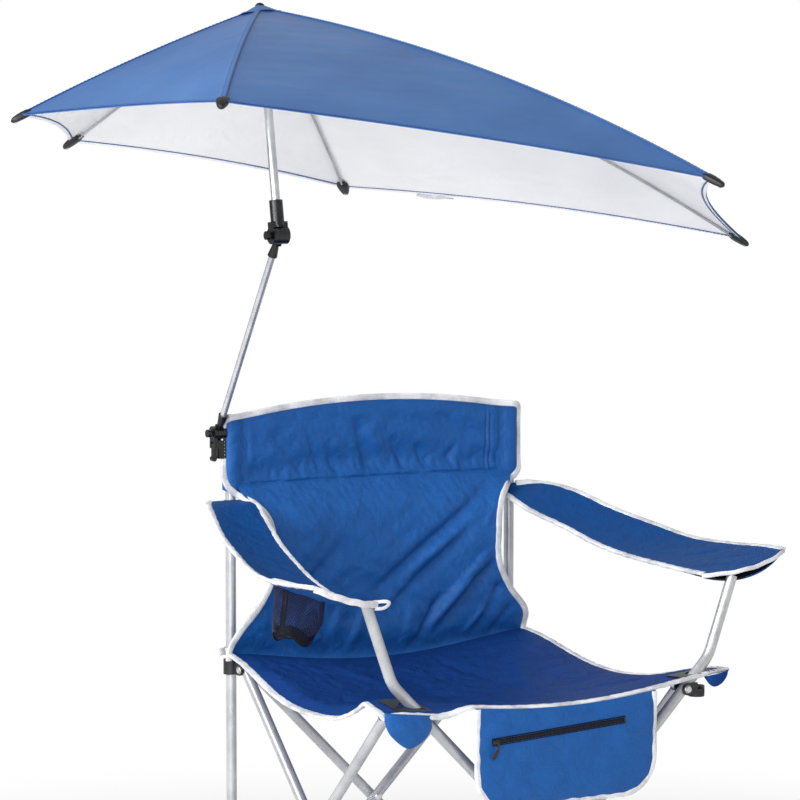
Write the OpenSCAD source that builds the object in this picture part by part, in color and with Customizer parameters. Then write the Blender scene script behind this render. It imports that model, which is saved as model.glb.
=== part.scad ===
// Umbrella chair: a folding sling chair on four scissor frames, with a sunshade clamped to one rear post.
// Millimetres, +Z up. Right and left are the sitter's, so the right side lies toward -X and the front toward -Y.

/* [Frame] */
// Distance between the post axes, both ways
base_w = 510; // [440:5:580]
// Height of the foot pivots above the floor
foot_pivot_z = 55; // [46:1:70]
// Height of the upper pivots in the open chair
hub_pivot_z = 505; // [460:5:540]
// Distance from a post axis to the pivots beside it
pivot_inset = 30; // [29:0.5:36]
// Outer diameter of the frame tubes
tube_d = 16; // [14:0.5:18]
// Wall of the frame tubes
tube_wall = 1.2; // [0.8:0.1:2]
// Gap between the two tubes of a scissor
layer_gap = 1.5; // [1:0.1:3]
// Tube left beyond an end pivot
tube_end = 10; // [8:0.5:11]
// Top of the rear posts
post_top_z = 893; // [860:1:940]
// Diameter of the rivets
rivet_d = 6; // [4:0.5:7]
// Clearance round a rivet in a turning tube
rivet_play = 0.1; // [0.05:0.01:0.2]

/* [Arm tubes] */
// Straight length from the corner pivot to the bend
arm_reach = 50; // [40:1:70]
// Radius of the bend
arm_bend_r = 60; // [45:1:80]
// Angle of the bend
arm_bend = 25; // [15:1:35]
// Straight length above the bend
arm_rise = 112; // [90:1:120]

/* [Brackets] */
// Radius of the collar of a foot or slide
collar_r = 12; // [11:0.5:13]
// Play of a slide on its post, on the radius
slide_play = 0.1; // [0.05:0.01:0.2]
// Thickness of an ear
ear_t = 3.2; // [2.5:0.1:4]
// Gap between an ear and the tube
ear_gap = 0.4; // [0.3:0.05:0.8]
// Radius of an ear's round end
ear_r = 9; // [8:0.5:10]
// Radius of a foot's base
foot_r = 24; // [18:1:28]
// Thickness of a foot's base
foot_t = 8; // [5:0.5:12]
// Head radius of a rivet
rivet_head_r = 5.5; // [4.5:0.5:6.5]
// Head thickness of a rivet
rivet_head_t = 2; // [1:0.1:2.5]

/* [Seat and back] */
// Thickness of the seat and back cloth
cloth_t = 2; // [1.5:0.1:3]
// How far the seat's rear corners stand out past the posts
seat_rear_out = 17; // [5:1:25]
// How far the seat's front corners stand out past the front pivots
seat_front_out = 45; // [30:1:60]
// Distance of the seat's rear edge ahead of the posts
seat_rear_gap = 23; // [19:1:50]
// How far the seat's front corners stand ahead of the front pivots
seat_front_jut = 17; // [5:1:30]
// How far the front edge bulges forward
seat_lip = 14; // [0:1:30]
// Height of the seat's corners above the upper pivots
seat_corner_rise = 24.5; // [23:0.5:30]
// Sag of the seat's side edges, as a share of the base's width
seat_side_slack = 0.0706; // [0.02:0.0001:0.1]
// Sag of the seat's front and rear edges, as a share of the base's width
seat_end_slack = 0.049; // [0.02:0.001:0.07]
// Clearance round an arm tube where it passes the seat
arm_hole_play = 3; // [2:0.5:5]
// Bottom of the sleeves that hold the back on its posts
sleeve_z = 781; // [770:1:820]
// Thickness of the sleeve cloth
sleeve_t = 1.6; // [1.2:0.1:2.5]
// Height of the arch along the top edge of the back
back_arch = 22; // [0:1:40]
// How far each side of the back draws in at its waist
waist_in = 48; // [25:1:75]
// How far the back bellies to the rear
back_belly = 24; // [0:1:34]
// Height of the strap rings round the posts
strap_h = 11; // [6:0.5:14]

/* [Armrests] */
// Thickness of the padded armrests
armrest_t = 3; // [2:0.1:5]
// Sag across an armrest
armrest_sag = 5; // [0:0.5:10]
// How far the armrest's front edge bulges forward
armrest_lip = 20; // [0:1:30]
// Height of the ring that holds an armrest on its post
armrest_ring_h = 24; // [12:1:30]
// Radius of the cup holder's mouth
cup_r = 38; // [34:0.5:40]
// Depth of the cup holder below its mouth
cup_depth = 92; // [70:1:120]
// Wall of the cup holder
cup_wall = 1.6; // [1.2:0.1:2.5]

/* [Pouch] */
// Width of the pouch under the front edge
pouch_w = 312; // [240:1:360]
// Height of the pouch
pouch_h = 142; // [100:1:170]
// Thickness of the pouch
pouch_t = 10; // [6:0.5:20]
// Radius of the pouch's lower corners
pouch_r = 55; // [20:1:60]
// Length of the zip
zip_len = 230; // [150:5:240]
// Width of the zip tape
zip_w = 9; // [7:0.5:14]

/* [Umbrella joints] */
// Distance of the mast plane outward from the right post axis
mast_out = 21; // [20:0.5:30]
// Height of the lower tilt axis
lower_axis_z = 868; // [855:1:874]
// Length of the lower arm, axis to axis
arm_len = 361; // [320:1:400]
// Forward lean of the lower arm
arm_lean = 32; // [20:1:45]
// Backward lean of the mast
mast_lean = 9.3; // [0:0.1:20]
// Diameter of the lower arm's tube
arm_d = 10; // [8:0.5:12]
// Diameter of the mast
mast_d = 13; // [11:0.5:14]
// Mast length from the upper tilt axis to the canopy's apex
mast_len = 332; // [310:1:360]
// Radius of the lower tilt joint
lower_joint_r = 11; // [9:0.5:13]
// Width of the lower tilt joint
lower_joint_w = 20; // [18:0.5:24]
// Radius of the upper tilt joint
upper_joint_r = 13; // [11:0.5:15]
// Width of the upper tilt joint
upper_joint_w = 26; // [24:0.5:30]
// Travel of a push button
button_travel = 2.5; // [1.5:0.1:3]
// Running clearance between turning plastic parts
run_gap = 0.3; // [0.2:0.05:0.5]

/* [Clamp] */
// Wall of the clamp round the sleeve
clamp_wall = 5.5; // [4:0.5:7]
// Height of the clamp's ring
clamp_h = 28; // [20:1:36]

/* [Canopy] */
// Turn of the canopy's long axis from +X
canopy_turn = -39.3; // [-60:0.1:0]
// Angle from the long axis to the front ribs
rib_front_angle = 31.7; // [20:0.1:36]
// Angle from the long axis to the side ribs
rib_side_angle = 87; // [75:0.5:95]
// Angle from the long axis to the rear ribs
rib_rear_angle = 156; // [145:0.5:160]
// Length of the front ribs along their bow
rib_front_len = 868; // [700:1:900]
// Length of the side ribs along their bow
rib_side_len = 558; // [480:1:620]
// Length of the rear ribs along their bow
rib_rear_len = 404; // [340:1:480]
// Slope of a rib where it leaves the crown
rib_slope = 17.7; // [8:0.1:20]
// Radius of the ribs' bow
rib_bow_r = 3200; // [1500:10:4000]
// Diameter of a rib
rib_d = 4; // [3:0.5:5]
// Distance from the mast axis to the crown pivots
crown_r = 13; // [12.5:0.5:16]
// Length of a stretcher, pivot to pivot
stretcher_len = 118; // [100:1:120]
// Thickness of the canopy cloth
canopy_t = 1.4; // [1:0.1:2.5]
// How far the canopy's edge is drawn in between two ribs
edge_draw = 0.05; // [0:0.01:0.1]

/* [Hidden] */
$fn = 48;

// Frame values worked out from the sizes above
half_w = base_w / 2;
spacing = base_w - 2 * pivot_inset;
rise = hub_pivot_z - foot_pivot_z;
bar_len = norm([spacing, rise]);
bar_angle = atan2(rise, spacing);
centre_z = (foot_pivot_z + hub_pivot_z) / 2;
layer = (tube_d + layer_gap) / 2;
tube_r = tube_d / 2;
fold_end = 84.4 - bar_angle;
seat_corner_z = hub_pivot_z + seat_corner_rise;
seat_rear_reach = half_w + seat_rear_out;
seat_front_reach = half_w + seat_front_out;
seat_rear_y = half_w - seat_rear_gap;
seat_front_y = -half_w - seat_front_jut;
seat_side_sag = seat_side_slack * base_w;
seat_end_sag = seat_end_slack * base_w;
waist_half = half_w - waist_in;

// Height of an arm tube's upper end: along the bar, round the bend and up the straight end
arm_end_z = foot_pivot_z + (bar_len + arm_reach) * sin(bar_angle)
    + arm_bend_r * (cos(bar_angle) - cos(bar_angle + arm_bend)) + arm_rise * sin(bar_angle + arm_bend);

// Umbrella values worked out from the sizes above
mast_x = -half_w - mast_out;
lower_axis = [mast_x, half_w + 1, lower_axis_z];
upper_axis = lower_axis + arm_len * [0, -sin(arm_lean), cos(arm_lean)];
mast_dir = [0, sin(mast_lean), cos(mast_lean)];
mast_side = [0, cos(mast_lean), -sin(mast_lean)];
apex = upper_axis + mast_len * mast_dir;
rib_turn = [for (a = [-rib_front_angle, rib_front_angle, rib_side_angle, rib_rear_angle,
    360 - rib_rear_angle, 360 - rib_side_angle]) canopy_turn + a];
rib_len = [rib_front_len, rib_front_len, rib_side_len, rib_rear_len, rib_rear_len, rib_side_len];
crown_drop = bow_drop(bow_at(crown_r));
joint_angle = rib_slope + (bow_at(crown_r) + stretcher_len / 2) / rib_bow_r * 180 / PI;
close_end = 60;

// Radius and drop of a point at arc length s along a bowed rib
function bow_r(s) = rib_bow_r * (sin(rib_slope + s / rib_bow_r * 180 / PI) - sin(rib_slope));
function bow_drop(s) = rib_bow_r * (cos(rib_slope) - cos(rib_slope + s / rib_bow_r * 180 / PI));
function bow_at(r) = (asin(r / rib_bow_r + sin(rib_slope)) - rib_slope) * rib_bow_r * PI / 180;
// Point at radius r, turn a and drop d in the mast's frame
function around_mast(r, a, d) =
    apex + r * (cos(a) * [1, 0, 0] + sin(a) * mast_side) - d * mast_dir;
function rib_point(i, s) = around_mast(bow_r(s), rib_turn[i], bow_drop(s));

// The origin lies on the floor, under the middle of the whole object's box
tips = [for (i = [0:5]) rib_point(i, rib_len[i])];
tip_x = [for (p = tips) p.x];
tip_y = [for (p = tips) p.y];
armrest_out = 156;
origin_shift = [-(min(tip_x) + max(max(tip_x), half_w + armrest_out)) / 2, -(min(tip_y) + max(tip_y)) / 2, 0];

// Small helpers
function mix(a, b, t) = a + (b - a) * t;
function flat(rows) = [for (row = rows) for (p = row) p];

module placed() {
    translate(origin_shift)
        children();
}

// A closed slab between two grids of points with the same rows and columns
module slab(top, bottom) {
    rows = len(top);
    cols = len(top[0]);
    n = rows * cols;
    sheet = [for (i = [0:rows - 2]) for (j = [0:cols - 2]) let (a = i * cols + j)
        each [[a, a + 1, a + cols], [a + 1, a + cols + 1, a + cols]]];
    under = [for (f = sheet) [n + f[2], n + f[1], n + f[0]]];
    ends = [for (j = [0:cols - 2]) for (i = [0, rows - 1]) let (a = i * cols + j)
        each (i == 0
            ? [[a + 1, a, n + a], [a + 1, n + a, n + a + 1]]
            : [[a, a + 1, n + a + 1], [a, n + a + 1, n + a]])];
    sides = [for (i = [0:rows - 2]) for (j = [0, cols - 1]) let (a = i * cols + j, b = a + cols)
        each (j == 0
            ? [[a, b, n + b], [a, n + b, n + a]]
            : [[b, a, n + a], [b, n + a, n + b]])];
    polyhedron(concat(flat(top), flat(bottom)), concat(sheet, under, ends, sides));
}

// Frame tubes
module straight_tube(length) {
    rotate([0, 90, 0])
        difference() {
            cylinder(d = tube_d, h = length);
            translate([0, 0, -1])
                cylinder(d = tube_d - 2 * tube_wall, h = length + 2);
        }
}

module tube_holes(xs) {
    for (x = xs)
        translate([x, 0, 0])
            rotate([90, 0, 0])
                cylinder(d = rivet_d + 2 * rivet_play, h = 3 * tube_d, center = true);
}

// Straight bar, drawn along +X from its lower pivot
module plain_bar() {
    difference() {
        translate([-tube_end, 0, 0])
            straight_tube(bar_len + 2 * tube_end);
        tube_holes([0, bar_len / 2, bar_len]);
    }
}

// The bend's wall is a hair thicker than the straight runs, which are seated in its ends
bend_swell = 0.05;
bend_seat = 0.5;

// Bar that runs past its upper pivot, bends upward and ends under the armrest
module arm_bar() {
    bend_x = bar_len + arm_reach;
    difference() {
        union() {
            translate([-tube_end, 0, 0])
                straight_tube(tube_end + bend_x + bend_seat);
            translate([bend_x, 0, arm_bend_r])
                rotate([90, 0, 0])
                    rotate(-90)
                        rotate_extrude(angle = arm_bend)
                            translate([arm_bend_r, 0])
                                bend_section();
            translate([bend_x + arm_bend_r * sin(arm_bend), 0, arm_bend_r * (1 - cos(arm_bend))])
                rotate([0, -arm_bend, 0])
                    translate([-bend_seat, 0, 0])
                        straight_tube(arm_rise + bend_seat);
        }
        tube_holes([0, bar_len / 2, bar_len]);
    }
}

module bend_section() {
    difference() {
        circle(d = tube_d + 2 * bend_swell);
        circle(d = tube_d - 2 * tube_wall - 2 * bend_swell);
    }
}

// Rivet along local Y, long enough for two ears or two tubes
module rivet(grip) {
    rotate([90, 0, 0]) {
        cylinder(d = rivet_d, h = grip, center = true);
        for (side = [-1, 1])
            translate([0, 0, side * (grip + rivet_head_t) / 2])
                cylinder(r = rivet_head_r, h = rivet_head_t, center = true);
    }
}

// Frames of the four sides: local +X runs from rear to front on a side, and from right to left at front and rear
module on_right() {
    translate([-half_w, 0, 0])
        rotate(-90)
            children();
}

module on_left() {
    translate([half_w, 0, 0])
        rotate(-90)
            children();
}

module on_rear() {
    translate([0, half_w, 0])
        children();
}

module on_front() {
    translate([0, -half_w, 0])
        children();
}

// The rising bar lies at local -Y and the falling bar at local +Y
module rising() {
    translate([-spacing / 2, -layer, foot_pivot_z])
        rotate([0, -bar_angle, 0])
            children();
}

module falling() {
    translate([spacing / 2, layer, foot_pivot_z])
        mirror([1, 0, 0])
            rotate([0, -bar_angle, 0])
                children();
}

module centre_rivet() {
    translate([0, 0, centre_z])
        rivet(2 * tube_d + layer_gap + 0.2);
}

module rising_bar() {
    color("silver")
        rising()
            plain_bar();
    color("dimgray")
        centre_rivet();
}

module front_bar_left_arm() {
    color("silver")
        on_front()
            rising()
                arm_bar();
    color("dimgray")
        on_front()
            centre_rivet();
}

module front_bar_right_arm() {
    color("silver")
        on_front()
            falling()
                arm_bar();
}

module falling_bar() {
    color("silver")
        falling()
            plain_bar();
}

// Brackets: ears stand on a web beside the collar, and hold one bar end at local [inset, offset, 0]
ear_out = tube_r + ear_gap + ear_t;
web_far = pivot_inset - norm([tube_end, tube_r]) - 0.6;

module ear_pair(offset, low, high) {
    translate([0, offset, 0]) {
        translate([0, -ear_out, low])
            cube([web_far, 2 * ear_out, high - low]);
        for (side = [-1, 1])
            translate([0, side * (ear_out - ear_t / 2), 0])
                rotate([90, 0, 0])
                    linear_extrude(ear_t, center = true)
                        difference() {
                            union() {
                                translate([web_far - 4, -ear_r])
                                    square([pivot_inset - web_far + 4, 2 * ear_r]);
                                translate([pivot_inset, 0])
                                    circle(ear_r);
                            }
                            translate([pivot_inset, 0])
                                circle(d = rivet_d + 0.1);
                        }
    }
}

module ear_rivet(offset) {
    translate([pivot_inset, offset, 0])
        rivet(2 * ear_out + 0.2);
}

// A corner's two bar ends: [turn of the ear about Z, sideways offset in that turned frame]
function corner_ears(turn_a, off_a, turn_b, off_b) = [[turn_a, off_a], [turn_b, off_b]];
ears_foot_rear_right = corner_ears(-90, -layer, 0, -layer);
ears_foot_front_right = corner_ears(90, -layer, 0, -layer);
ears_foot_rear_left = corner_ears(-90, -layer, 180, -layer);
ears_foot_front_left = corner_ears(90, -layer, 180, -layer);
ears_slide_right = corner_ears(-90, layer, 0, layer);
ears_slide_left = corner_ears(-90, layer, 180, layer);
ears_corner_right = corner_ears(90, layer, 0, layer);
ears_corner_left = corner_ears(90, layer, 180, layer);

module foot(corner, ears, bore) {
    translate([corner.x, corner.y, 0]) {
        color("black")
            difference() {
                union() {
                    cylinder(r = foot_r, h = foot_t);
                    translate([0, 0, foot_t])
                        cylinder(r1 = foot_r - 2, r2 = collar_r, h = foot_t);
                    cylinder(r = collar_r, h = foot_pivot_z + ear_r + 6);
                    for (e = ears)
                        translate([0, 0, foot_pivot_z])
                            rotate(e[0])
                                ear_pair(e[1], -ear_r, ear_r);
                }
                if (bore)
                    translate([0, 0, foot_t])
                        cylinder(d = tube_d + 0.1, h = post_top_z);
            }
        color("silver")
            for (e = ears)
                translate([0, 0, foot_pivot_z])
                    rotate(e[0])
                        ear_rivet(e[1]);
    }
}

module slide(corner, ears) {
    translate([corner.x, corner.y, hub_pivot_z]) {
        color("black")
            difference() {
                union() {
                    translate([0, 0, -ear_r - 1])
                        cylinder(r = collar_r, h = 2 * ear_r + 5);
                    for (e = ears)
                        rotate(e[0])
                            ear_pair(e[1], -ear_r, ear_r);
                }
                translate([0, 0, -foot_pivot_z])
                    cylinder(r = tube_r + slide_play, h = 2 * foot_pivot_z);
            }
        color("silver")
            for (e = ears)
                rotate(e[0])
                    ear_rivet(e[1]);
    }
}

// The front corner has no post, and its top stays low because an arm tube passes over it
module corner_hub(corner, ears) {
    translate([corner.x, corner.y, hub_pivot_z]) {
        color("black")
            union() {
                translate([0, 0, -ear_r - 6])
                    cylinder(r = collar_r, h = ear_r + 7);
                for (e = ears)
                    rotate(e[0])
                        ear_pair(e[1], -ear_r, -1);
            }
        color("silver")
            for (e = ears)
                rotate(e[0])
                    ear_rivet(e[1]);
    }
}

module post(corner) {
    color("silver")
        translate([corner.x, corner.y, foot_t])
            rotate([0, -90, 0])
                straight_tube(post_top_z - foot_t);
}

rear_right = [-half_w, half_w];
rear_left = [half_w, half_w];
front_right = [-half_w, -half_w];
front_left = [half_w, -half_w];

// Seat cloth: s runs across from -1 to 1 and t from the rear edge to the front edge
function seat_end_z(s) = seat_corner_z - seat_end_sag * pow(1 - s * s, 1.5);
function seat_z(s, t) = seat_end_z(s) - seat_side_sag * pow(4 * t * (1 - t), 2);
function seat_point(s, t, down) = [
    s * mix(seat_rear_reach, seat_front_reach, t),
    mix(seat_rear_y, seat_front_y, t) - seat_lip * (1 - s * s) * pow(t, 3),
    seat_z(s, t) - down];
seat_cols = 20;
seat_rows = 11;

module seat_cloth(t0, t1) {
    grid = function(down) [for (i = [0:seat_rows]) [for (j = [0:seat_cols])
        seat_point(-1 + 2 * j / seat_cols, mix(t0, t1, i / seat_rows), down)]];
    slab(grid(0), grid(cloth_t));
}

module arm_clearance() {
    on_front()
        rising()
            translate([bar_len, 0, 0])
                rotate([0, 90, 0])
                    cylinder(r = tube_r + arm_hole_play, h = 2 * arm_reach);
    on_front()
        falling()
            translate([bar_len, 0, 0])
                rotate([0, 90, 0])
                    cylinder(r = tube_r + arm_hole_play, h = 2 * arm_reach);
}

module seat_rear_half() {
    color("midnightblue")
        seat_cloth(0, 0.4995);
}

module seat_front_half() {
    color("midnightblue")
        difference() {
            seat_cloth(0.5005, 1);
            arm_clearance();
        }
}

// Back cloth: side edges as [height, half width, Y], drawn in at the waist
back_edge = [[0, seat_rear_reach - 4, seat_rear_y + 3], [30, seat_rear_reach - 14, half_w - 38],
    [70, waist_half + 22, half_w - 43], [110, waist_half + 4, half_w - 46], [165, waist_half, half_w - 48],
    [215, waist_half + 11, half_w - 39], [248, half_w - 9, half_w - 17],
    [262, half_w - 7.4, half_w - 5.6], [400, half_w - 7.4, half_w - 5.6]];
edge_half = [for (e = back_edge) [e[0], e[1]]];
edge_y = [for (e = back_edge) [e[0], e[2]]];
back_cols = 24;
back_rows = 20;

function back_point(s, w, rear) =
    let (low = seat_end_z(s) + 1.5,
        high = post_top_z + back_arch * (1 - s * s),
        z = mix(low, high, w),
        h = mix(0, post_top_z - seat_corner_z, w),
        y = lookup(h, edge_y) + back_belly * (1 - s * s) * sin(180 * pow(w, 0.8)))
    [s * lookup(h, edge_half), y + rear, z];

// Strap from the back's lower corner to the ring round the post
strap_outline = [[seat_rear_reach - half_w, seat_rear_y - half_w + 2], [6, seat_rear_y - half_w + 2],
    [0.2 * tube_r, -tube_r - 1.5], [tube_r + 1.5, -0.6 * tube_r]];

module back() {
    grid = function(rear) [for (i = [0:back_rows]) [for (j = [0:back_cols])
        back_point(-1 + 2 * j / back_cols, i / back_rows, rear)]];
    color("royalblue") {
        slab(grid(cloth_t / 2), grid(-cloth_t / 2));
        for (side = [-1, 1])
            translate([side * half_w, half_w, 0]) {
                translate([0, 0, sleeve_z])
                    post_ring(post_top_z - sleeve_z, sleeve_t);
                translate([0, 0, seat_corner_z - 4])
                    post_ring(strap_h, 3.2);
                translate([0, 0, seat_corner_z - 3])
                    linear_extrude(strap_h - 2)
                        mirror([side < 0 ? 1 : 0, 0])
                            polygon(strap_outline);
            }
    }
}

// Play of a cloth ring on its post, and of the clamp on the cloth
sleeve_gap = 0.4;

module post_ring(height, wall) {
    difference() {
        cylinder(r = tube_r + sleeve_gap + wall, h = height);
        translate([0, 0, -1])
            cylinder(r = tube_r + sleeve_gap, h = height + 2);
    }
}

// Armrest cloth of the right side: edges as [y, x, z], inner and outer, from the post forward.
// It hangs on the post at one height and rests on the arm tube's end at the other.
armrest_post_z = 767;
armrest_front_z = round(arm_end_z) + 5;
armrest_outer = [[half_w - 8.8, half_w + 35, armrest_post_z - 3], [half_w - 35, half_w + 56, armrest_post_z - 3],
    [half_w - 75, half_w + 73, armrest_post_z - 10], [100, half_w + 100, armrest_front_z + 59],
    [20, half_w + 120, armrest_front_z + 42], [-60, half_w + 138, armrest_front_z + 27],
    [-140, half_w + 152, armrest_front_z + 25], [35 - half_w, half_w + armrest_out, armrest_front_z + 29],
    [-half_w - 11, half_w + 153, armrest_front_z + 30]];
armrest_inner = [[half_w - 8.8, half_w - 17, armrest_post_z - 17], [half_w - 35, half_w - 19, armrest_post_z - 23],
    [half_w - 75, half_w - 18, armrest_post_z - 35], [100, half_w + 2, armrest_front_z + 36],
    [20, half_w + 13, armrest_front_z + 16], [-60, half_w + 21, armrest_front_z + 6],
    [-140, half_w + 24, armrest_front_z + 2], [55 - half_w, half_w + 25, armrest_front_z],
    [5 - half_w, half_w + 25, armrest_front_z]];
armrest_rows = 16;
armrest_cols = 6;

function edge_point(edge, t) =
    let (y = mix(edge[0][0], edge[len(edge) - 1][0], t),
        xs = [for (i = [len(edge) - 1:-1:0]) [edge[i][0], edge[i][1]]],
        zs = [for (i = [len(edge) - 1:-1:0]) [edge[i][0], edge[i][2]]])
    [-lookup(y, xs), y, lookup(y, zs)];

function armrest_point(s, t, down) =
    mix(edge_point(armrest_outer, t), edge_point(armrest_inner, t), s)
        - 4 * s * (1 - s) * [0, armrest_lip * pow(t, 4), armrest_sag * min(1, 6 * t)] - [0, 0, down];

cup_centre = [-half_w - 90, -117];
cup_rim_z = armrest_front_z + 13.5;
cup_rim_tilt = 11;

module armrest_cloth() {
    grid = function(down) [for (i = [0:armrest_rows]) [for (j = [0:armrest_cols])
        armrest_point(j / armrest_cols, i / armrest_rows, down)]];
    slab(grid(0), grid(armrest_t));
    translate([-half_w, half_w, armrest_post_z - armrest_ring_h])
        post_ring(armrest_ring_h, sleeve_t);
}

module armrest_right() {
    color("mediumblue")
        difference() {
            armrest_cloth();
            translate([cup_centre.x, cup_centre.y, cup_rim_z - 40])
                cylinder(r = cup_r + 0.3, h = 80);
        }
}

module armrest_left() {
    color("mediumblue")
        mirror([1, 0, 0])
            armrest_cloth();
}

// Net cup holder with a neck in the armrest's hole, cut off along the armrest, and a drawn-in bottom
module cup_holder() {
    color("black")
        translate([cup_centre.x, cup_centre.y, cup_rim_z])
            difference() {
                cup_form(cup_r, -cup_depth);
                cup_form(cup_r - cup_wall, cup_wall - cup_depth);
                rotate([0, cup_rim_tilt, 0])
                    translate([-2 * cup_r, -2 * cup_r, 0])
                        cube([4 * cup_r, 4 * cup_r, cup_depth]);
            }
}

module cup_form(r, low) {
    rotate_extrude()
        polygon([[0, low], [0.82 * r, low], [r, low + 0.18 * cup_depth], [r, cup_r], [0, cup_r]]);
}

// Pouch under the front edge, with its top edge along the seat's edge
pouch_y = seat_front_y - seat_lip - 0.6;
function pouch_top(x) = seat_end_z(x / seat_front_reach);

module pouch() {
    steps = 12;
    low = pouch_top(0) - pouch_h;
    top = [for (i = [0:steps]) let (x = pouch_w * (0.5 - i / steps)) [x, pouch_top(x)]];
    left = [for (a = [180:15:270]) [-pouch_w / 2 + pouch_r * (1 + cos(a)), low + pouch_r * (1 + sin(a))]];
    right = [for (a = [270:15:360]) [pouch_w / 2 - pouch_r * (1 - cos(a)), low + pouch_r * (1 + sin(a))]];
    color("royalblue")
        translate([0, pouch_y, 0])
            rotate([90, 0, 0])
                linear_extrude(pouch_t)
                    polygon(concat(top, left, right));
}

// The zip rises gently toward the left
zip_mid = [-18, 468.5];
zip_tilt = 3.2;

module on_zip() {
    translate([zip_mid.x, pouch_y - pouch_t - 0.1, zip_mid.y])
        rotate([0, -zip_tilt, 0])
            children();
}

module zip_tape() {
    color("black")
        on_zip()
            translate([-zip_len / 2, -1.2, -zip_w / 2])
                cube([zip_len, 1.2, zip_w]);
}

module zip_slider() {
    color("dimgray")
        on_zip()
            translate([-zip_len / 2 + 6, -1.4, 0]) {
                translate([-4, -3, -4])
                    cube([8, 3, 8]);
                translate([-2.5, -4.6, -18])
                    cube([5, 2, 20]);
            }
}

// Cloth pocket that wraps the front corner below the seat
pocket_outline = [[-34, 0], [30, 0], [38, -14], [16, -34], [-8, -46], [-26, -40], [-38, -16]];

module corner_pocket(side) {
    color("royalblue")
        translate([side * (half_w + 10), seat_front_y - 6.5, seat_corner_z + 1])
            rotate([90, 0, 0])
                linear_extrude(cloth_t)
                    mirror([side < 0 ? 1 : 0, 0])
                        polygon(pocket_outline);
}

// Clamp round the sleeve of the right post, open toward the front
sleeve_r = tube_r + sleeve_gap + sleeve_t;
clamp_in = sleeve_r + sleeve_gap;
clamp_out = clamp_in + clamp_wall;
clamp_top = lower_axis_z - lower_joint_r;
clamp_z = clamp_top - clamp_h;

// The fixed and the moving part of the ring, as angles round the post
body_sector = [98, 165];
jaw_sector = [-5, 86];

module ring_sector(from, to, height) {
    rotate([0, 0, from])
        rotate_extrude(angle = to - from)
            translate([clamp_in, 0])
                square([clamp_wall, height]);
}

// Third of the lower joint: w0 and w1 are places along X from the mast plane
module joint_disc(r, w0, w1) {
    translate([w0, 0, 0])
        rotate([0, 90, 0])
            cylinder(r = r, h = w1 - w0);
}

// Half width of the eyes between the joints' cheeks, the pins that join them, and a pin's hollow
eye_half = 4.6;
pin_r = 2.5;
pin_hollow_r = 1.6;
block_w = 16;

// The jaw's upright hinge pin stands behind the post
hinge_turn = 92;
hinge_at = (clamp_in + clamp_wall / 2) * [cos(hinge_turn), sin(hinge_turn)];
hinge_r = 3.2;
hinge_rod_r = 1.6;
knuckle_h = clamp_h / 3;

// The lever hangs from its pin in a slot and ends in a round knob
lever_w = 8;
lever_boss_r = 2.6;
lever_knob_r = 4.2;
lever_rod_r = 1.2;
lever_pin = [mast_x - lower_joint_w / 2 + 3, lower_axis.y, clamp_top - 6];

module hinge_column(r, z0, z1) {
    translate([hinge_at.x, hinge_at.y, z0])
        cylinder(r = r, h = z1 - z0);
}

module clamp_body() {
    color("black")
        difference() {
            union() {
                translate([-half_w, half_w, clamp_z])
                    difference() {
                        ring_sector(body_sector[0], body_sector[1], clamp_h);
                        hinge_column(hinge_r + run_gap, knuckle_h - run_gap, 2 * knuckle_h + run_gap);
                    }
                translate([-half_w, half_w, clamp_z])
                    for (z = [0, 2 * knuckle_h])
                        hinge_column(hinge_r, z, z + knuckle_h);
                translate(lower_axis) {
                    joint_disc(lower_joint_r, -lower_joint_w / 2, -eye_half - run_gap);
                    joint_disc(lower_joint_r, eye_half + run_gap, lower_joint_w / 2);
                    for (x = [-lower_joint_w / 2, eye_half + run_gap])
                        translate([x, -block_w / 2, -lower_joint_r - 1])
                            cube([lower_joint_w / 2 - eye_half - run_gap, block_w, lower_joint_r + 1]);
                }
                translate([mast_x - lower_joint_w / 2, lower_axis.y - block_w / 2, clamp_top - 12])
                    cube([8, block_w, 12]);
                translate([mast_x - lower_joint_w / 2 + 8, lower_axis.y - block_w / 2, clamp_z])
                    cube([lower_joint_w - 8, block_w, clamp_h]);
            }
            translate([mast_x - lower_joint_w, lower_axis.y - lever_w / 2 - 0.2, clamp_z - 1])
                cube([lower_joint_w / 2 + 6, lever_w + 0.4, clamp_h - 1]);
            translate([-half_w, half_w, clamp_z - 1])
                cylinder(r = clamp_in, h = clamp_h + 2);
            translate([mast_x, lower_axis.y, lower_axis_z])
                joint_disc(lower_joint_r + 0.5, -eye_half - run_gap, eye_half + run_gap);
            translate(lower_axis)
                joint_disc(pin_r + 0.05, -lower_joint_w, lower_joint_w);
            translate([-half_w, half_w, clamp_z - 1])
                hinge_column(hinge_rod_r + 0.05, 0, clamp_h + 2);
            translate(lever_pin)
                rotate([90, 0, 0])
                    cylinder(r = lever_rod_r + 0.05, h = 30, center = true);
        }
    color("silver") {
        translate(lower_axis)
            difference() {
                joint_disc(pin_r, -lower_joint_w / 2, lower_joint_w / 2);
                joint_disc(pin_hollow_r, -lower_joint_w / 2 - 1, -eye_half);
            }
        translate([-half_w, half_w, clamp_z])
            hinge_column(hinge_rod_r, 0, clamp_h);
        translate(lever_pin)
            rotate([90, 0, 0])
                cylinder(r = lever_rod_r, h = block_w, center = true);
    }
}

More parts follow.
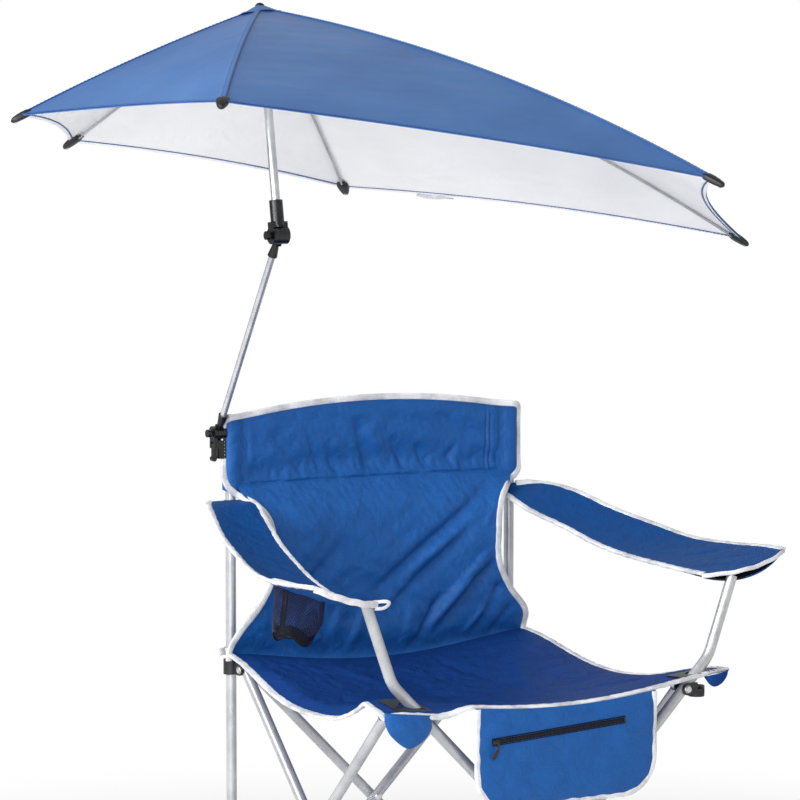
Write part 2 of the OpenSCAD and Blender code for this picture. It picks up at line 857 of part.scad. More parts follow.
module clamp_jaw() {
    color("black")
        translate([-half_w, half_w, clamp_z])
            difference() {
                union() {
                    difference() {
                        ring_sector(jaw_sector[0], jaw_sector[1], clamp_h);
                        hinge_column(hinge_r + run_gap, -1, knuckle_h + run_gap);
                        hinge_column(hinge_r + run_gap, 2 * knuckle_h - run_gap, clamp_h + 1);
                    }
                    hinge_column(hinge_r, knuckle_h + run_gap, 2 * knuckle_h - run_gap);
                }
                translate([0, 0, -1])
                    cylinder(r = clamp_in, h = clamp_h + 2);
                hinge_column(hinge_rod_r + 0.1, -1, clamp_h + 1);
            }
}

module clamp_lever() {
    color("black")
        translate(lever_pin)
            difference() {
                union() {
                    rotate([90, 0, 0])
                        cylinder(r = lever_boss_r, h = lever_w, center = true);
                    translate([-lever_boss_r, -lever_w / 2, -clamp_h + 6])
                        cube([4, lever_w, clamp_h - 6]);
                    translate([-1, 0, -clamp_h + 6])
                        rotate([90, 0, 0])
                            cylinder(r = lever_knob_r, h = lever_w, center = true);
                }
                rotate([90, 0, 0])
                    cylinder(r = lever_rod_r + 0.1, h = lever_w + 1, center = true);
            }
}

module push_button(centre, joint_w, r) {
    color("black")
        translate(centre)
            translate([-joint_w / 2, 0, 0]) {
                joint_disc(1.5, -button_travel - 1, 1.5);
                joint_disc(r, -button_travel - 6.5, -button_travel - 0.5);
            }
}

module lower_button() {
    push_button(lower_axis, lower_joint_w, 6);
}

module upper_button() {
    push_button(upper_axis, upper_joint_w, 6.5);
}

// The arm tube's ends, and how deep the tube stands in them
yoke_len = 34;
knuckle_len = 36;
arm_in = 14;
end_socket_r = 7.5;

// Plastic end with an eye at the origin and a socket along +Z for a tube
module eye_socket(r, half, length, socket_r, tube, depth) {
    difference() {
        union() {
            joint_disc(r, -half, half);
            translate([-half, -0.6 * r, 0])
                cube([2 * half, 1.2 * r, r + 1.5]);
            translate([0, 0, r + 1])
                cylinder(r1 = half, r2 = socket_r, h = length - r - 1);
        }
        joint_disc(pin_r + 0.1, -2 * half, 2 * half);
        translate([0, 0, length - depth])
            cylinder(d = tube + 0.1, h = depth + 1);
    }
}

module lower_yoke() {
    color("black")
        translate(lower_axis)
            rotate([arm_lean, 0, 0])
                eye_socket(lower_joint_r, eye_half, yoke_len, end_socket_r, arm_d, arm_in);
}

module upper_knuckle() {
    color("black")
        translate(upper_axis)
            rotate([180 + arm_lean, 0, 0])
                eye_socket(upper_joint_r, eye_half, knuckle_len, end_socket_r, arm_d, arm_in);
}

module arm_tube() {
    color("silver")
        translate(lower_axis)
            rotate([arm_lean, 0, 0])
                translate([0, 0, yoke_len - arm_in])
                    difference() {
                        cylinder(d = arm_d, h = arm_len - yoke_len - knuckle_len + 2 * arm_in);
                        translate([0, 0, -1])
                            cylinder(d = arm_d - 2, h = arm_len);
                    }
}

module on_mast() {
    translate(upper_axis)
        rotate([-mast_lean, 0, 0])
            children();
}

socket_len = 52;
socket_in = 32;
socket_r = 10;

// Socket that carries the mast, with two cheeks beside the knuckle and a pin through all three
module mast_socket() {
    cheek = eye_half + run_gap;
    color("black")
        on_mast()
            difference() {
                union() {
                    joint_disc(upper_joint_r, -upper_joint_w / 2, -cheek);
                    joint_disc(upper_joint_r, cheek, upper_joint_w / 2);
                    translate([0, 0, upper_joint_r + 1])
                        cylinder(r = socket_r, h = socket_len - upper_joint_r - 1);
                    for (side = [-1, 1])
                        translate([side * (upper_joint_w / 2 + cheek) / 2, 0, upper_joint_r / 2 + 4])
                            cube([upper_joint_w / 2 - cheek, 14, upper_joint_r + 6], center = true);
                    translate([-upper_joint_w / 2 + 1, -7, upper_joint_r + 1])
                        cube([upper_joint_w - 2, 14, 6]);
                }
                joint_disc(pin_r + 0.05, -upper_joint_w, upper_joint_w);
                translate([0, 0, socket_len - socket_in])
                    cylinder(d = mast_d + 0.2, h = socket_in + 1);
            }
    color("silver")
        translate(upper_axis)
            difference() {
                joint_disc(pin_r, -upper_joint_w / 2, upper_joint_w / 2);
                joint_disc(pin_hollow_r, -upper_joint_w / 2 - 1, -eye_half);
            }
}

module mast() {
    color("silver")
        on_mast()
            translate([0, 0, socket_len - socket_in + 0.3])
                difference() {
                    cylinder(d = mast_d, h = mast_len - crown_drop + 1.5 - socket_len + socket_in - 0.3);
                    translate([0, 0, -1])
                        cylinder(d = mast_d - 2.4, h = mast_len);
                }
}

// Crown and runner: a slotted disc with a short pin across each slot
slot_w = 3.4;
tongue_t = 2.8;
tongue_h = 3.2;
tongue_r = 2.4;
hinge_pin_r = 1.1;
disc_rim = 2.4;
disc_half_h = 3.4;

module slotted_disc(outer, low, high, bore) {
    difference() {
        union() {
            difference() {
                translate([0, 0, low])
                    cylinder(r = outer, h = high - low);
                for (a = rib_turn)
                    rotate(a)
                        translate([mast_d / 2 + 1.6, -slot_w / 2, low - 1])
                            cube([outer, slot_w, high - low + 2]);
            }
            for (a = rib_turn)
                rotate(a)
                    translate([crown_r, 0, 0])
                        rotate([90, 0, 0])
                            cylinder(r = hinge_pin_r, h = slot_w + 2, center = true);
        }
        if (bore > 0)
            translate([0, 0, low - 1])
                cylinder(r = bore, h = high - low + 2);
    }
}

module crown() {
    color("black")
        on_mast()
            translate([0, 0, mast_len - crown_drop])
                difference() {
                    slotted_disc(crown_r + disc_rim, -disc_half_h, disc_half_h, 0);
                    translate([0, 0, -10])
                        cylinder(d = mast_d + 0.1, h = 11.6);
                }
}

module crown_cap() {
    color("black")
        on_mast()
            translate([0, 0, mast_len - crown_drop + disc_half_h]) {
                cylinder(r = 7, h = 0.6);
                translate([0, 0, 0.5])
                    cylinder(r1 = crown_r + 1, r2 = 7, h = 6);
            }
}

runner_drop = crown_drop + 2 * stretcher_len * sin(joint_angle);

module runner() {
    color("black")
        on_mast()
            translate([0, 0, mast_len - runner_drop]) {
                slotted_disc(crown_r + disc_rim, -disc_half_h, disc_half_h, mast_d / 2 + 0.1);
                difference() {
                    translate([0, 0, -14])
                        cylinder(r = mast_d / 2 + 2.2, h = 10.6);
                    translate([0, 0, -15])
                        cylinder(r = mast_d / 2 + 0.1, h = 13);
                }
            }
}

// Frame of one rib: local +X points outward, +Z up the mast, origin at the apex
module on_rib(i) {
    on_mast()
        translate([0, 0, mast_len])
            rotate(rib_turn[i])
                children();
}

joint_r = crown_r + stretcher_len * cos(joint_angle);
joint_drop = crown_drop + stretcher_len * sin(joint_angle);

lug_r = 2.4;
lug_pin_r = 1;
fork_len = 18;
rib_tip_r = 3.4;

// Bowed rod with a flat tongue at the crown, a lug for its stretcher and a tip
module rib(i) {
    start = bow_at(crown_r + 7);
    sweep = (rib_len[i] - start) / rib_bow_r * 180 / PI;
    color("dimgray")
        on_rib(i) {
            difference() {
                union() {
                    translate([-rib_bow_r * sin(rib_slope), 0, -rib_bow_r * cos(rib_slope)])
                        rotate([90, 0, 0])
                            rotate([0, 0, 90 - rib_slope - start / rib_bow_r * 180 / PI - sweep])
                                rotate_extrude(angle = sweep, $fn = 720)
                                    translate([rib_bow_r, 0])
                                        circle(d = rib_d, $fn = 16);
                    translate([crown_r, 0, -crown_drop])
                        rotate([90, 0, 0])
                            linear_extrude(tongue_t, center = true)
                                union() {
                                    circle(tongue_r, $fn = 24);
                                    rotate(-rib_slope)
                                        translate([0, -tongue_h / 2])
                                            square([8, tongue_h]);
                                }
                    translate([joint_r, 0, -joint_drop])
                        rotate([90, 0, 0])
                            cylinder(r = lug_r, h = 7, center = true, $fn = 24);
                }
                translate([crown_r, 0, -crown_drop])
                    rotate([90, 0, 0])
                        cylinder(r = hinge_pin_r + 0.1, h = 8, center = true, $fn = 24);
                translate([joint_r, 0, -joint_drop])
                    rotate([90, 0, 0])
                        cylinder(r = lug_pin_r + 0.1, h = 9, center = true, $fn = 24);
            }
            translate([bow_r(rib_len[i]), 0, -bow_drop(rib_len[i])])
                sphere(rib_tip_r, $fn = 24);
        }
}

// Stretcher from the rib's lug to the runner
module stretcher(i) {
    color("dimgray")
        on_rib(i)
            translate([joint_r, 0, -joint_drop])
                rotate([0, 180 - joint_angle, 0]) {
                    difference() {
                        union() {
                            for (side = [-1, 1])
                                translate([-lug_r, side * 4.7 - 0.8, -tongue_h / 2])
                                    cube([fork_len + lug_r, 1.6, tongue_h]);
                            translate([fork_len - 4, -5.5, -tongue_h / 2])
                                cube([4, 11, tongue_h]);
                            translate([fork_len - 1, 0, 0])
                                rotate([0, 90, 0])
                                    cylinder(d = tongue_h, h = stretcher_len - fork_len - 3, $fn = 24);
                            translate([stretcher_len, 0, 0])
                                rotate([90, 0, 0])
                                    linear_extrude(tongue_t, center = true)
                                        union() {
                                            circle(tongue_r, $fn = 24);
                                            translate([-8, -tongue_h / 2])
                                                square([8, tongue_h]);
                                        }
                        }
                        translate([stretcher_len, 0, 0])
                            rotate([90, 0, 0])
                                cylinder(r = hinge_pin_r + 0.1, h = 8, center = true, $fn = 24);
                    }
                    rotate([90, 0, 0])
                        cylinder(r = lug_pin_r, h = 11, center = true, $fn = 24);
                }
}

// One panel of the canopy, from rib i to the next one, lying on the ribs
gore_rows = 12;
gore_cols = 8;
cloth_in = 20;

function gore_point(i, v, u, up) =
    let (k = (i + 1) % 6,
        f = v * (1 - edge_draw * 4 * u * (1 - u) * v),
        start = bow_at(cloth_in),
        a = rib_point(i, mix(start, rib_len[i] - 6, f)),
        b = rib_point(k, mix(start, rib_len[k] - 6, f)))
    mix(a, b, u) + up * mast_dir;

module gore(i) {
    lift = rib_d / 2 + 2.4;
    grid = function(up) [for (r = [0:gore_rows]) [for (c = [0:gore_cols])
        gore_point(i, r / gore_rows, 0.0008 + 0.9984 * c / gore_cols, up)]];
    color("cornflowerblue")
        slab(grid(lift + canopy_t), grid(lift));
}

// Pivot places in the part's own frame, for checking and for the joints' positions
echo(origin_shift = origin_shift, fold_end = fold_end, bar_angle = bar_angle, layer = layer);
echo(lower_axis = lower_axis + origin_shift, upper_axis = upper_axis + origin_shift, apex = apex + origin_shift);
echo(joint_angle = joint_angle, crown_drop = crown_drop, joint_r = joint_r, joint_drop = joint_drop);
echo(runner_drop = runner_drop, rib_turn = rib_turn, tips = tips);

placed() foot(rear_right, ears_foot_rear_right, true);  // foot_rear_right
placed() foot(rear_left, ears_foot_rear_left, true);  // foot_rear_left
placed() foot(front_right, ears_foot_front_right, false);  // foot_front_right
placed() foot(front_left, ears_foot_front_left, false);  // foot_front_left
placed() post(rear_right);  // post_rear_right
placed() post(rear_left);  // post_rear_left
placed() slide(rear_right, ears_slide_right);  // slide_right
placed() slide(rear_left, ears_slide_left);  // slide_left
placed() corner_hub(front_right, ears_corner_right);  // corner_hub_right
placed() corner_hub(front_left, ears_corner_left);  // corner_hub_left
placed() on_right() rising_bar();  // side_bar_rising_right
placed() on_right() falling_bar();  // side_bar_falling_right
placed() on_left() rising_bar();  // side_bar_rising_left
placed() on_left() falling_bar();  // side_bar_falling_left
placed() on_rear() rising_bar();  // rear_bar_rising
placed() on_rear() falling_bar();  // rear_bar_falling
placed() front_bar_left_arm();
placed() front_bar_right_arm();
placed() seat_rear_half();
placed() seat_front_half();
placed() back();
placed() armrest_right();
placed() armrest_left();
placed() cup_holder();
placed() pouch();
placed() zip_tape();
placed() zip_slider();
placed() corner_pocket(-1);  // corner_pocket_right
placed() corner_pocket(1);  // corner_pocket_left
placed() clamp_body();
placed() clamp_jaw();
placed() clamp_lever();
placed() lower_button();
placed() lower_yoke();
placed() arm_tube();
placed() upper_knuckle();
placed() mast_socket();
placed() upper_button();
placed() mast();
placed() crown();
placed() runner();
placed() crown_cap();
placed() rib(0);  // rib_front_right
placed() rib(1);  // rib_front_left
placed() rib(2);  // rib_side_left
placed() rib(3);  // rib_rear_left
placed() rib(4);  // rib_rear_right
placed() rib(5);  // rib_side_right
placed() stretcher(0);  // stretcher_front_right
placed() stretcher(1);  // stretcher_front_left
placed() stretcher(2);  // stretcher_side_left
placed() stretcher(3);  // stretcher_rear_left
placed() stretcher(4);  // stretcher_rear_right
placed() stretcher(5);  // stretcher_side_right
placed() gore(0);  // canopy_front
placed() gore(1);  // canopy_left
placed() gore(2);  // canopy_rear_left
placed() gore(3);  // canopy_rear
placed() gore(4);  // canopy_rear_right
placed() gore(5);  // canopy_right
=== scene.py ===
# Umbrella chair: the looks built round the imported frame.
# Settings are in millimetres, measured from the floor point midway between the four feet.
# The sitter's right lies toward -X and the front toward -Y.
import math

import bpy
import numpy as np
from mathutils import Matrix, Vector


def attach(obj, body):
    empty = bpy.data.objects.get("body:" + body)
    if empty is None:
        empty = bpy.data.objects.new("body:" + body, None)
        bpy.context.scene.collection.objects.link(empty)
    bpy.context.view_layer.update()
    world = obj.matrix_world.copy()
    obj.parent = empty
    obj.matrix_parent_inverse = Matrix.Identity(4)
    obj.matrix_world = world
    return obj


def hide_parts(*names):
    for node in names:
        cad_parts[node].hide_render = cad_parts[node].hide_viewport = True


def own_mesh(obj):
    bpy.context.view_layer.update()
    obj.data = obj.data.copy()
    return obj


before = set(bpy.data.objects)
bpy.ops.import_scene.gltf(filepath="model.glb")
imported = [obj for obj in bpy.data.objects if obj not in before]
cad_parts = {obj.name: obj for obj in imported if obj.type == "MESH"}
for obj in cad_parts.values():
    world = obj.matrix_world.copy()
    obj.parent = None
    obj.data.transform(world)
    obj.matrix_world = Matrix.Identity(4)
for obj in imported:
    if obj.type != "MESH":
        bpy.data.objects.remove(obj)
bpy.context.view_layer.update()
print("frame loaded:", len(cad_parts), "nodes")

originShift = np.array([70.2041, 105.935, 0.0])
# Distance of each post's axis from the chair's middle, sideways and to the rear
postOut = 255


def place(points):
    # Chair millimetres to the frame's metres
    return (np.asarray(points, float) + originShift) * 0.001


cameraView = {
    "eye": (-2662, -4186, 1312),
    "yaw": -30.983,
    "pitchDown": 5.131,
    "lens": 148.94,
    "shift": (0.0304, 0.0480),
}


def setCamera(view):
    data = bpy.data.cameras.new("camera")
    data.sensor_width = 36
    data.lens = view["lens"]
    data.shift_x, data.shift_y = view["shift"]
    camera = bpy.data.objects.new("camera", data)
    camera.location = place(view["eye"])
    camera.rotation_euler = (math.radians(90 - view["pitchDown"]), 0, math.radians(view["yaw"]))
    bpy.context.collection.objects.link(camera)
    bpy.context.scene.camera = camera


setCamera(cameraView)
print("camera set; the chair has no cords")


# Materials

def linear(hexColour):
    # sRGB to linear: c / 12.92 up to 0.04045, and ((c + 0.055) / 1.055) ** 2.4 above it
    c = np.array([int(hexColour[i:i + 2], 16) for i in (1, 3, 5)]) / 255
    return (*np.where(c <= 0.04045, c / 12.92, ((c + 0.055) / 1.055) ** 2.4), 1.0)


def addNode(tree, kind, values=None, links=None, **settings):
    # Adds a node, sets its properties and input values, and links its inputs to (node, output) pairs
    node = tree.nodes.new(kind)
    for key, value in settings.items():
        setattr(node, key, value)
    for key, value in (values or {}).items():
        node.inputs[key].default_value = value
    for key, (source, output) in (links or {}).items():
        tree.links.new(source.outputs[output], node.inputs[key])
    return node


def startFinish(name, roughness, metallic=0.0, ior=1.5, **sockets):
    material = bpy.data.materials.new(name)
    material.use_nodes = True
    tree = material.node_tree
    shader = tree.nodes["Principled BSDF"]
    shader.inputs["Roughness"].default_value = roughness
    shader.inputs["Metallic"].default_value = metallic
    shader.inputs["IOR"].default_value = ior
    for key, value in sockets.items():
        shader.inputs[key.replace("_", " ")].default_value = value
    return material, tree, shader


def mottled(tree, source, low, high, dark, light):
    # Runs from the dark to the light colour as a 0..1 pattern runs from low to high
    share = addNode(tree, "ShaderNodeMapRange", {"From Min": low, "From Max": high}, {"Value": source})
    return addNode(tree, "ShaderNodeMix", {6: linear(dark), 7: linear(light)}, {0: (share, 0)},
                   data_type="RGBA")


def varyRoughness(tree, shader, source, low, high):
    rough = addNode(tree, "ShaderNodeMapRange", {"To Min": low, "To Max": high}, {"Value": source})
    tree.links.new(rough.outputs[0], shader.inputs["Roughness"])


def coverWith(tree, shader, base, bumps):
    # Colours the surface and stacks its bumps, each (height, strength, distance) and lying on the one before
    tree.links.new(base.outputs[2], shader.inputs["Base Color"])
    under = {}
    for height, strength, distance in bumps:
        bump = addNode(tree, "ShaderNodeBump", {"Strength": strength, "Distance": distance},
                       {"Height": height, **under})
        under = {"Normal": (bump, 0)}
    tree.links.new(bump.outputs[0], shader.inputs["Normal"])


def threadWeave(tree, pitchMm):
    # Plain weave on the piece's own UV map, which is in metres: warp and weft are two sets of rounded bands
    uv = addNode(tree, "ShaderNodeTexCoord")
    bands = {"Scale": 2 * math.pi / 20 / (pitchMm * 0.001), "Distortion": 0.35, "Detail": 1.0}
    warp, weft = [addNode(tree, "ShaderNodeTexWave", bands, {"Vector": (uv, "UV")}, bands_direction=way)
                  for way in "XY"]
    weave = addNode(tree, "ShaderNodeMath", {}, {0: (warp, "Fac"), 1: (weft, "Fac")}, operation="MULTIPLY")
    return uv, weave


def polyesterOxford(name, dark, mid, light, shine=0.12, dull=0.44):
    # PU-coated 600 denier polyester oxford: a close basket weave with a dull plastic glint on its folds.
    # The real thread is about 0.5 mm; it is drawn at 2.2 mm, which is as fine as the picture shows.
    material, tree, shader = startFinish(name, dull, ior=1.48, Specular_IOR_Level=shine)
    uv, weave = threadWeave(tree, 2.2)
    mottle = addNode(tree, "ShaderNodeTexNoise", {"Scale": 26.0, "Detail": 5.0, "Roughness": 0.62},
                     {"Vector": (uv, "UV")})
    slub = addNode(tree, "ShaderNodeTexNoise", {"Scale": 260.0, "Detail": 2.0}, {"Vector": (uv, "UV")})
    base = mottled(tree, (mottle, "Fac"), 0.3, 0.7, dark, mid)
    thread = addNode(tree, "ShaderNodeMath", {1: 0.3}, {0: (weave, 0)}, operation="MULTIPLY")
    grain = addNode(tree, "ShaderNodeMath", {1: 0.34}, {0: (slub, "Fac")}, operation="MULTIPLY")
    both = addNode(tree, "ShaderNodeMath", {}, {0: (thread, 0), 1: (grain, 0)}, operation="ADD")
    top = addNode(tree, "ShaderNodeMix", {7: linear(light)}, {0: (both, 0), 6: (base, 2)}, data_type="RGBA")
    varyRoughness(tree, shader, (mottle, "Fac"), dull - 0.08, dull + 0.08)
    crumple = addNode(tree, "ShaderNodeTexNoise",
                      {"Scale": 55.0, "Detail": 4.0, "Roughness": 0.55, "Distortion": 0.6},
                      {"Vector": (uv, "UV")})
    coverWith(tree, shader, top, [((crumple, "Fac"), 0.75, 0.0036), ((weave, 0), 0.35, 0.00045)])
    return material


def grosgrainTape(name, dark, light):
    # Polyester grosgrain binding: fine ribs straight across the tape, a dull white that is greyer in random
    # patches.
    # The ribs are about 0.8 mm in the real tape and are drawn at 2.4 mm.
    material, tree, shader = startFinish(name, 0.72, ior=1.46, Sheen_Weight=0.08)
    uv = addNode(tree, "ShaderNodeTexCoord")
    ribs = addNode(tree, "ShaderNodeTexWave", {"Scale": 0.314 / 0.0024, "Distortion": 0.6, "Detail": 2.0},
                   {"Vector": (uv, "UV")}, bands_direction="X")
    greyPatches = addNode(tree, "ShaderNodeTexNoise", {"Scale": 30.0, "Detail": 5.0, "Roughness": 0.6},
                   {"Vector": (uv, "Object")})
    base = mottled(tree, (greyPatches, "Fac"), 0.32, 0.6, dark, light)
    coverWith(tree, shader, base, [((greyPatches, "Fac"), 0.6, 0.0016), ((ribs, "Fac"), 0.4, 0.0005)])
    return material


def powderCoat(name, dark, light, metallic=0.35, roughness=0.34):
    # Silver-grey powder coat on steel tube: satin, with a faint orange peel about 4 mm across
    material, tree, shader = startFinish(name, roughness, metallic=metallic)
    where = addNode(tree, "ShaderNodeTexCoord")
    cloud = addNode(tree, "ShaderNodeTexNoise", {"Scale": 18.0, "Detail": 6.0, "Roughness": 0.7},
                    {"Vector": (where, "Object")})
    base = mottled(tree, (cloud, "Fac"), 0.3, 0.6, dark, light)
    varyRoughness(tree, shader, (cloud, "Fac"), roughness - 0.06, roughness + 0.12)
    peel = addNode(tree, "ShaderNodeTexNoise", {"Scale": 250.0, "Detail": 2.0}, {"Vector": (where, "Object")})
    coverWith(tree, shader, base, [((peel, "Fac"), 0.12, 0.0003)])
    return material


def mouldedPlastic(name, dark, light, roughness, grainMm):
    # Injection-moulded black plastic: fine spark-eroded grain, rubbed a little brighter in patches
    material, tree, shader = startFinish(name, roughness, ior=1.52)
    where = addNode(tree, "ShaderNodeTexCoord")
    cloud = addNode(tree, "ShaderNodeTexNoise", {"Scale": 60.0, "Detail": 4.0}, {"Vector": (where, "Object")})
    base = mottled(tree, (cloud, "Fac"), 0.35, 0.75, dark, light)
    varyRoughness(tree, shader, (cloud, "Fac"), roughness - 0.08, roughness + 0.12)
    grain = addNode(tree, "ShaderNodeTexNoise", {"Scale": 1000 / grainMm, "Detail": 3.0},
                    {"Vector": (where, "Object")})
    coverWith(tree, shader, base, [((grain, "Fac"), 0.2, 0.0003)])
    return material


def coatedTaffeta(name, dark, light, roughness, crinkle):
    # Polyester taffeta, dyed blue outside and silver-coated inside: thin, tight, with shallow crinkles
    material, tree, shader = startFinish(name, roughness, ior=1.48, Sheen_Weight=0.03,
                                         Specular_IOR_Level=0.25)
    uv, weave = threadWeave(tree, 1.8)
    cloud = addNode(tree, "ShaderNodeTexNoise", {"Scale": 5.0, "Detail": 3.0}, {"Vector": (uv, "Object")})
    base = mottled(tree, (cloud, "Fac"), 0.3, 0.7, dark, light)
    wrinkle = addNode(tree, "ShaderNodeTexNoise",
                      {"Scale": 14.0, "Detail": 4.0, "Roughness": 0.5, "Distortion": 1.2},
                      {"Vector": (uv, "UV")})
    coverWith(tree, shader, base, [((wrinkle, "Fac"), crinkle, 0.006), ((weave, 0), 0.2, 0.0002)])
    return material


blueOxford = polyesterOxford("blue polyester oxford", "#0E478A", "#14549B", "#2A6AB2", shine=0.22)
navyOxford = polyesterOxford("navy polyester oxford", "#0E306C", "#133B7C", "#204C92", shine=0.06, dull=0.6)
greyBinding = grosgrainTape("grosgrain binding", "#B4B5BA", "#E6E7E9")
frameCoat = powderCoat("silver powder coat", "#A6A8AB", "#C3C5C8", metallic=0.5, roughness=0.3)
brightTube = powderCoat("anodised aluminium tube", "#B5B7BB", "#D5D7DA", metallic=0.8, roughness=0.28)
ribCoat = powderCoat("grey enamelled rib", "#8E9196", "#B6B9BD", metallic=0.3, roughness=0.4)
bracketNylon = mouldedPlastic("black nylon bracket", "#0B0C0E", "#1D1F23", 0.42, 1.6)
jointAbs = mouldedPlastic("black gloss ABS", "#060607", "#131417", 0.24, 2.5)
canopyOutside = coatedTaffeta("blue coated taffeta", "#3A649F", "#4A76B0", 0.5, 0.22)
canopyInside = coatedTaffeta("silver coated taffeta", "#EDEEF0", "#FBFBFC", 0.45, 0.35)
netThread = polyesterOxford("black net thread", "#171B30", "#272D4A", "#3F4870")
netBinding = polyesterOxford("black net binding", "#04050C", "#090C1A", "#12182E")
zipWeave = polyesterOxford("black zip tape", "#060607", "#0C0C0E", "#191A1D", shine=0.1)
zipNylon = mouldedPlastic("black nylon coil", "#0A0A0C", "#191A1D", 0.34, 0.8)
rivetZinc = powderCoat("zinc-plated rivet", "#B9BABD", "#E4E5E7", metallic=0.85, roughness=0.3)
print("finishes mixed")


# Surfaces worked out as whole arrays

def unit(vectors):
    return vectors / np.maximum(np.linalg.norm(vectors, axis=-1, keepdims=True), 1e-9)


def fullTurn(count):
    return np.linspace(0, 2 * math.pi, count)


def join(x, y, z):
    return np.stack(np.broadcast_arrays(x, y, z), -1)


def around(x, y, r, angle, z):
    # Points at radius r round an upright axis at (x, y)
    return join(x + r * np.cos(angle), y + r * np.sin(angle), z)


def awayFromEnds(t, steep):
    # 1 between t = 0 and t = 1, falling to 0 at both ends
    return np.clip(np.minimum(t, 1 - t) * steep, 0, 1)


def runLength(path):
    # Distance run along the path at each of its points
    return np.concatenate([[0], np.cumsum(np.linalg.norm(np.diff(path, axis=0), axis=1))])


def tubeEnds(count, sides):
    # Corner numbers of the two faces that close a tube of count rings
    return [list(range(sides)), [(count - 1) * sides + k for k in range(sides)][::-1]]


def gridQuads(rows, cols, loop=False):
    # Corner numbers of the cells between neighbouring points; loop joins the last column to the first
    i, j = np.meshgrid(np.arange(rows - 1), np.arange(cols if loop else cols - 1), indexing="ij")
    right = (j + 1) % cols
    quads = [i * cols + j, i * cols + right, (i + 1) * cols + right, (i + 1) * cols + j]
    return np.stack(quads, -1).reshape(-1, 4)


def gridNormals(mid):
    # Cross product of the surface's slopes along its columns and along its rows
    return unit(np.cross(np.gradient(mid, axis=1), np.gradient(mid, axis=0)))


def gridLengths(mid):
    # Distance run along each row and each column, in metres, for the weave
    across = np.linalg.norm(np.diff(mid, axis=1), axis=-1)
    down = np.linalg.norm(np.diff(mid, axis=0), axis=-1)
    u = np.pad(np.cumsum(across, 1), ((0, 0), (1, 0)))
    v = np.pad(np.cumsum(down, 0), ((1, 0), (0, 0)))
    return np.stack([u - u.mean(1, keepdims=True), v], -1) * 0.001


def shellPart(mid, thick, finish=0, inside=None, turn=1, keep=None):
    # Cloth with a thickness: the middle surface moved half of it along its normal each way, and a wall along
    # every border of the cells that are kept
    rows, cols = mid.shape[:2]
    offset = gridNormals(mid) * turn * np.broadcast_to(np.asarray(thick, float) / 2, (rows, cols))[..., None]
    count = rows * cols
    quads = gridQuads(rows, cols)[:, ::turn]
    if keep is not None:
        quads = quads[keep.ravel()]
    edges = np.stack([quads, np.roll(quads, -1, 1)], -1).reshape(-1, 2)
    border = edges[~np.isin(edges[:, 0] * count + edges[:, 1], edges[:, 1] * count + edges[:, 0])]
    rim = np.stack([border[:, 1], border[:, 0], count + border[:, 0], count + border[:, 1]], -1)
    used, faces = np.unique(np.concatenate([quads, rim, quads[:, ::-1] + count]), return_inverse=True)
    uv = np.tile(gridLengths(mid).reshape(-1, 2), (2, 1))[used]
    kinds = [finish] * (len(quads) + len(rim)) + [finish if inside is None else inside] * len(quads)
    points = np.concatenate([(mid + offset).reshape(-1, 3), (mid - offset).reshape(-1, 3)])[used]
    return {"points": points, "faces": faces.reshape(-1, 4).tolist(), "uv": uv, "kinds": kinds}


def sweptPart(path, facing, halfWidth, halfThick, finish=0, sides=12, corner=0.6, closed=False):
    # A profile carried along a path: |x/a|^n + |y/b|^n = 1 with n = 2 / corner, x across and y along facing
    path = np.asarray(path, float)
    count = len(path)
    if closed:
        tangent = unit(np.roll(path, -1, 0) - np.roll(path, 1, 0))
    else:
        tangent = unit(np.gradient(path, axis=0))
    facing = np.broadcast_to(np.asarray(facing, float), path.shape)
    across = unit(np.cross(tangent, facing))
    up = np.cross(across, tangent)
    angle = np.arange(sides) * 2 * math.pi / sides
    x = np.sign(np.cos(angle)) * np.abs(np.cos(angle)) ** corner
    y = np.sign(np.sin(angle)) * np.abs(np.sin(angle)) ** corner
    a = np.broadcast_to(np.asarray(halfWidth, float), count)[:, None, None]
    b = np.broadcast_to(np.asarray(halfThick, float), count)[:, None, None]
    points = path[:, None] + a * x[:, None] * across[:, None] + b * y[:, None] * up[:, None]
    quads = gridQuads(count + 1 if closed else count, sides, loop=True)[:, ::-1]
    quads = np.where(quads >= count * sides, quads - count * sides, quads).tolist()
    if not closed:
        quads += tubeEnds(count, sides)
    uv = np.stack(np.broadcast_arrays(runLength(path)[:, None], a[..., 0] * x), -1).reshape(-1, 2) * 0.001
    return {"points": points.reshape(-1, 3), "faces": quads, "uv": uv, "kinds": [finish] * len(quads)}


def strandsPart(paths, facing, radius, finish=0, sides=5):
    # Many thin threads at once: paths is threads x points x 3, and each gets a small round tube
    paths = np.asarray(paths, float)
    many, count = paths.shape[:2]
    tangent = unit(np.gradient(paths, axis=1))
    across = unit(np.cross(tangent, np.broadcast_to(facing, paths.shape)))
    up = np.cross(across, tangent)
    angle = np.arange(sides) * 2 * math.pi / sides
    ring = np.cos(angle)[:, None] * across[:, :, None] + np.sin(angle)[:, None] * up[:, :, None]
    points = paths[:, :, None] + radius * ring
    quads = gridQuads(count, sides, loop=True)[:, ::-1]
    step = count * sides
    faces = (quads[None] + step * np.arange(many)[:, None, None]).reshape(-1, 4).tolist()
    faces += [[k + step * m for k in end] for m in range(many) for end in tubeEnds(count, sides)]
    uv = np.zeros((many * step, 2))
    return {"points": points.reshape(-1, 3), "faces": faces, "uv": uv, "kinds": [finish] * len(faces)}


def evenly(path, step):
    # The path resampled at equal steps, with a straight line between its points
    path = np.asarray(path, float)
    run = runLength(path)
    at = np.linspace(0, run[-1], max(2, round(run[-1] / step) + 1))
    return np.stack([np.interp(at, run, path[:, k]) for k in range(3)], -1)


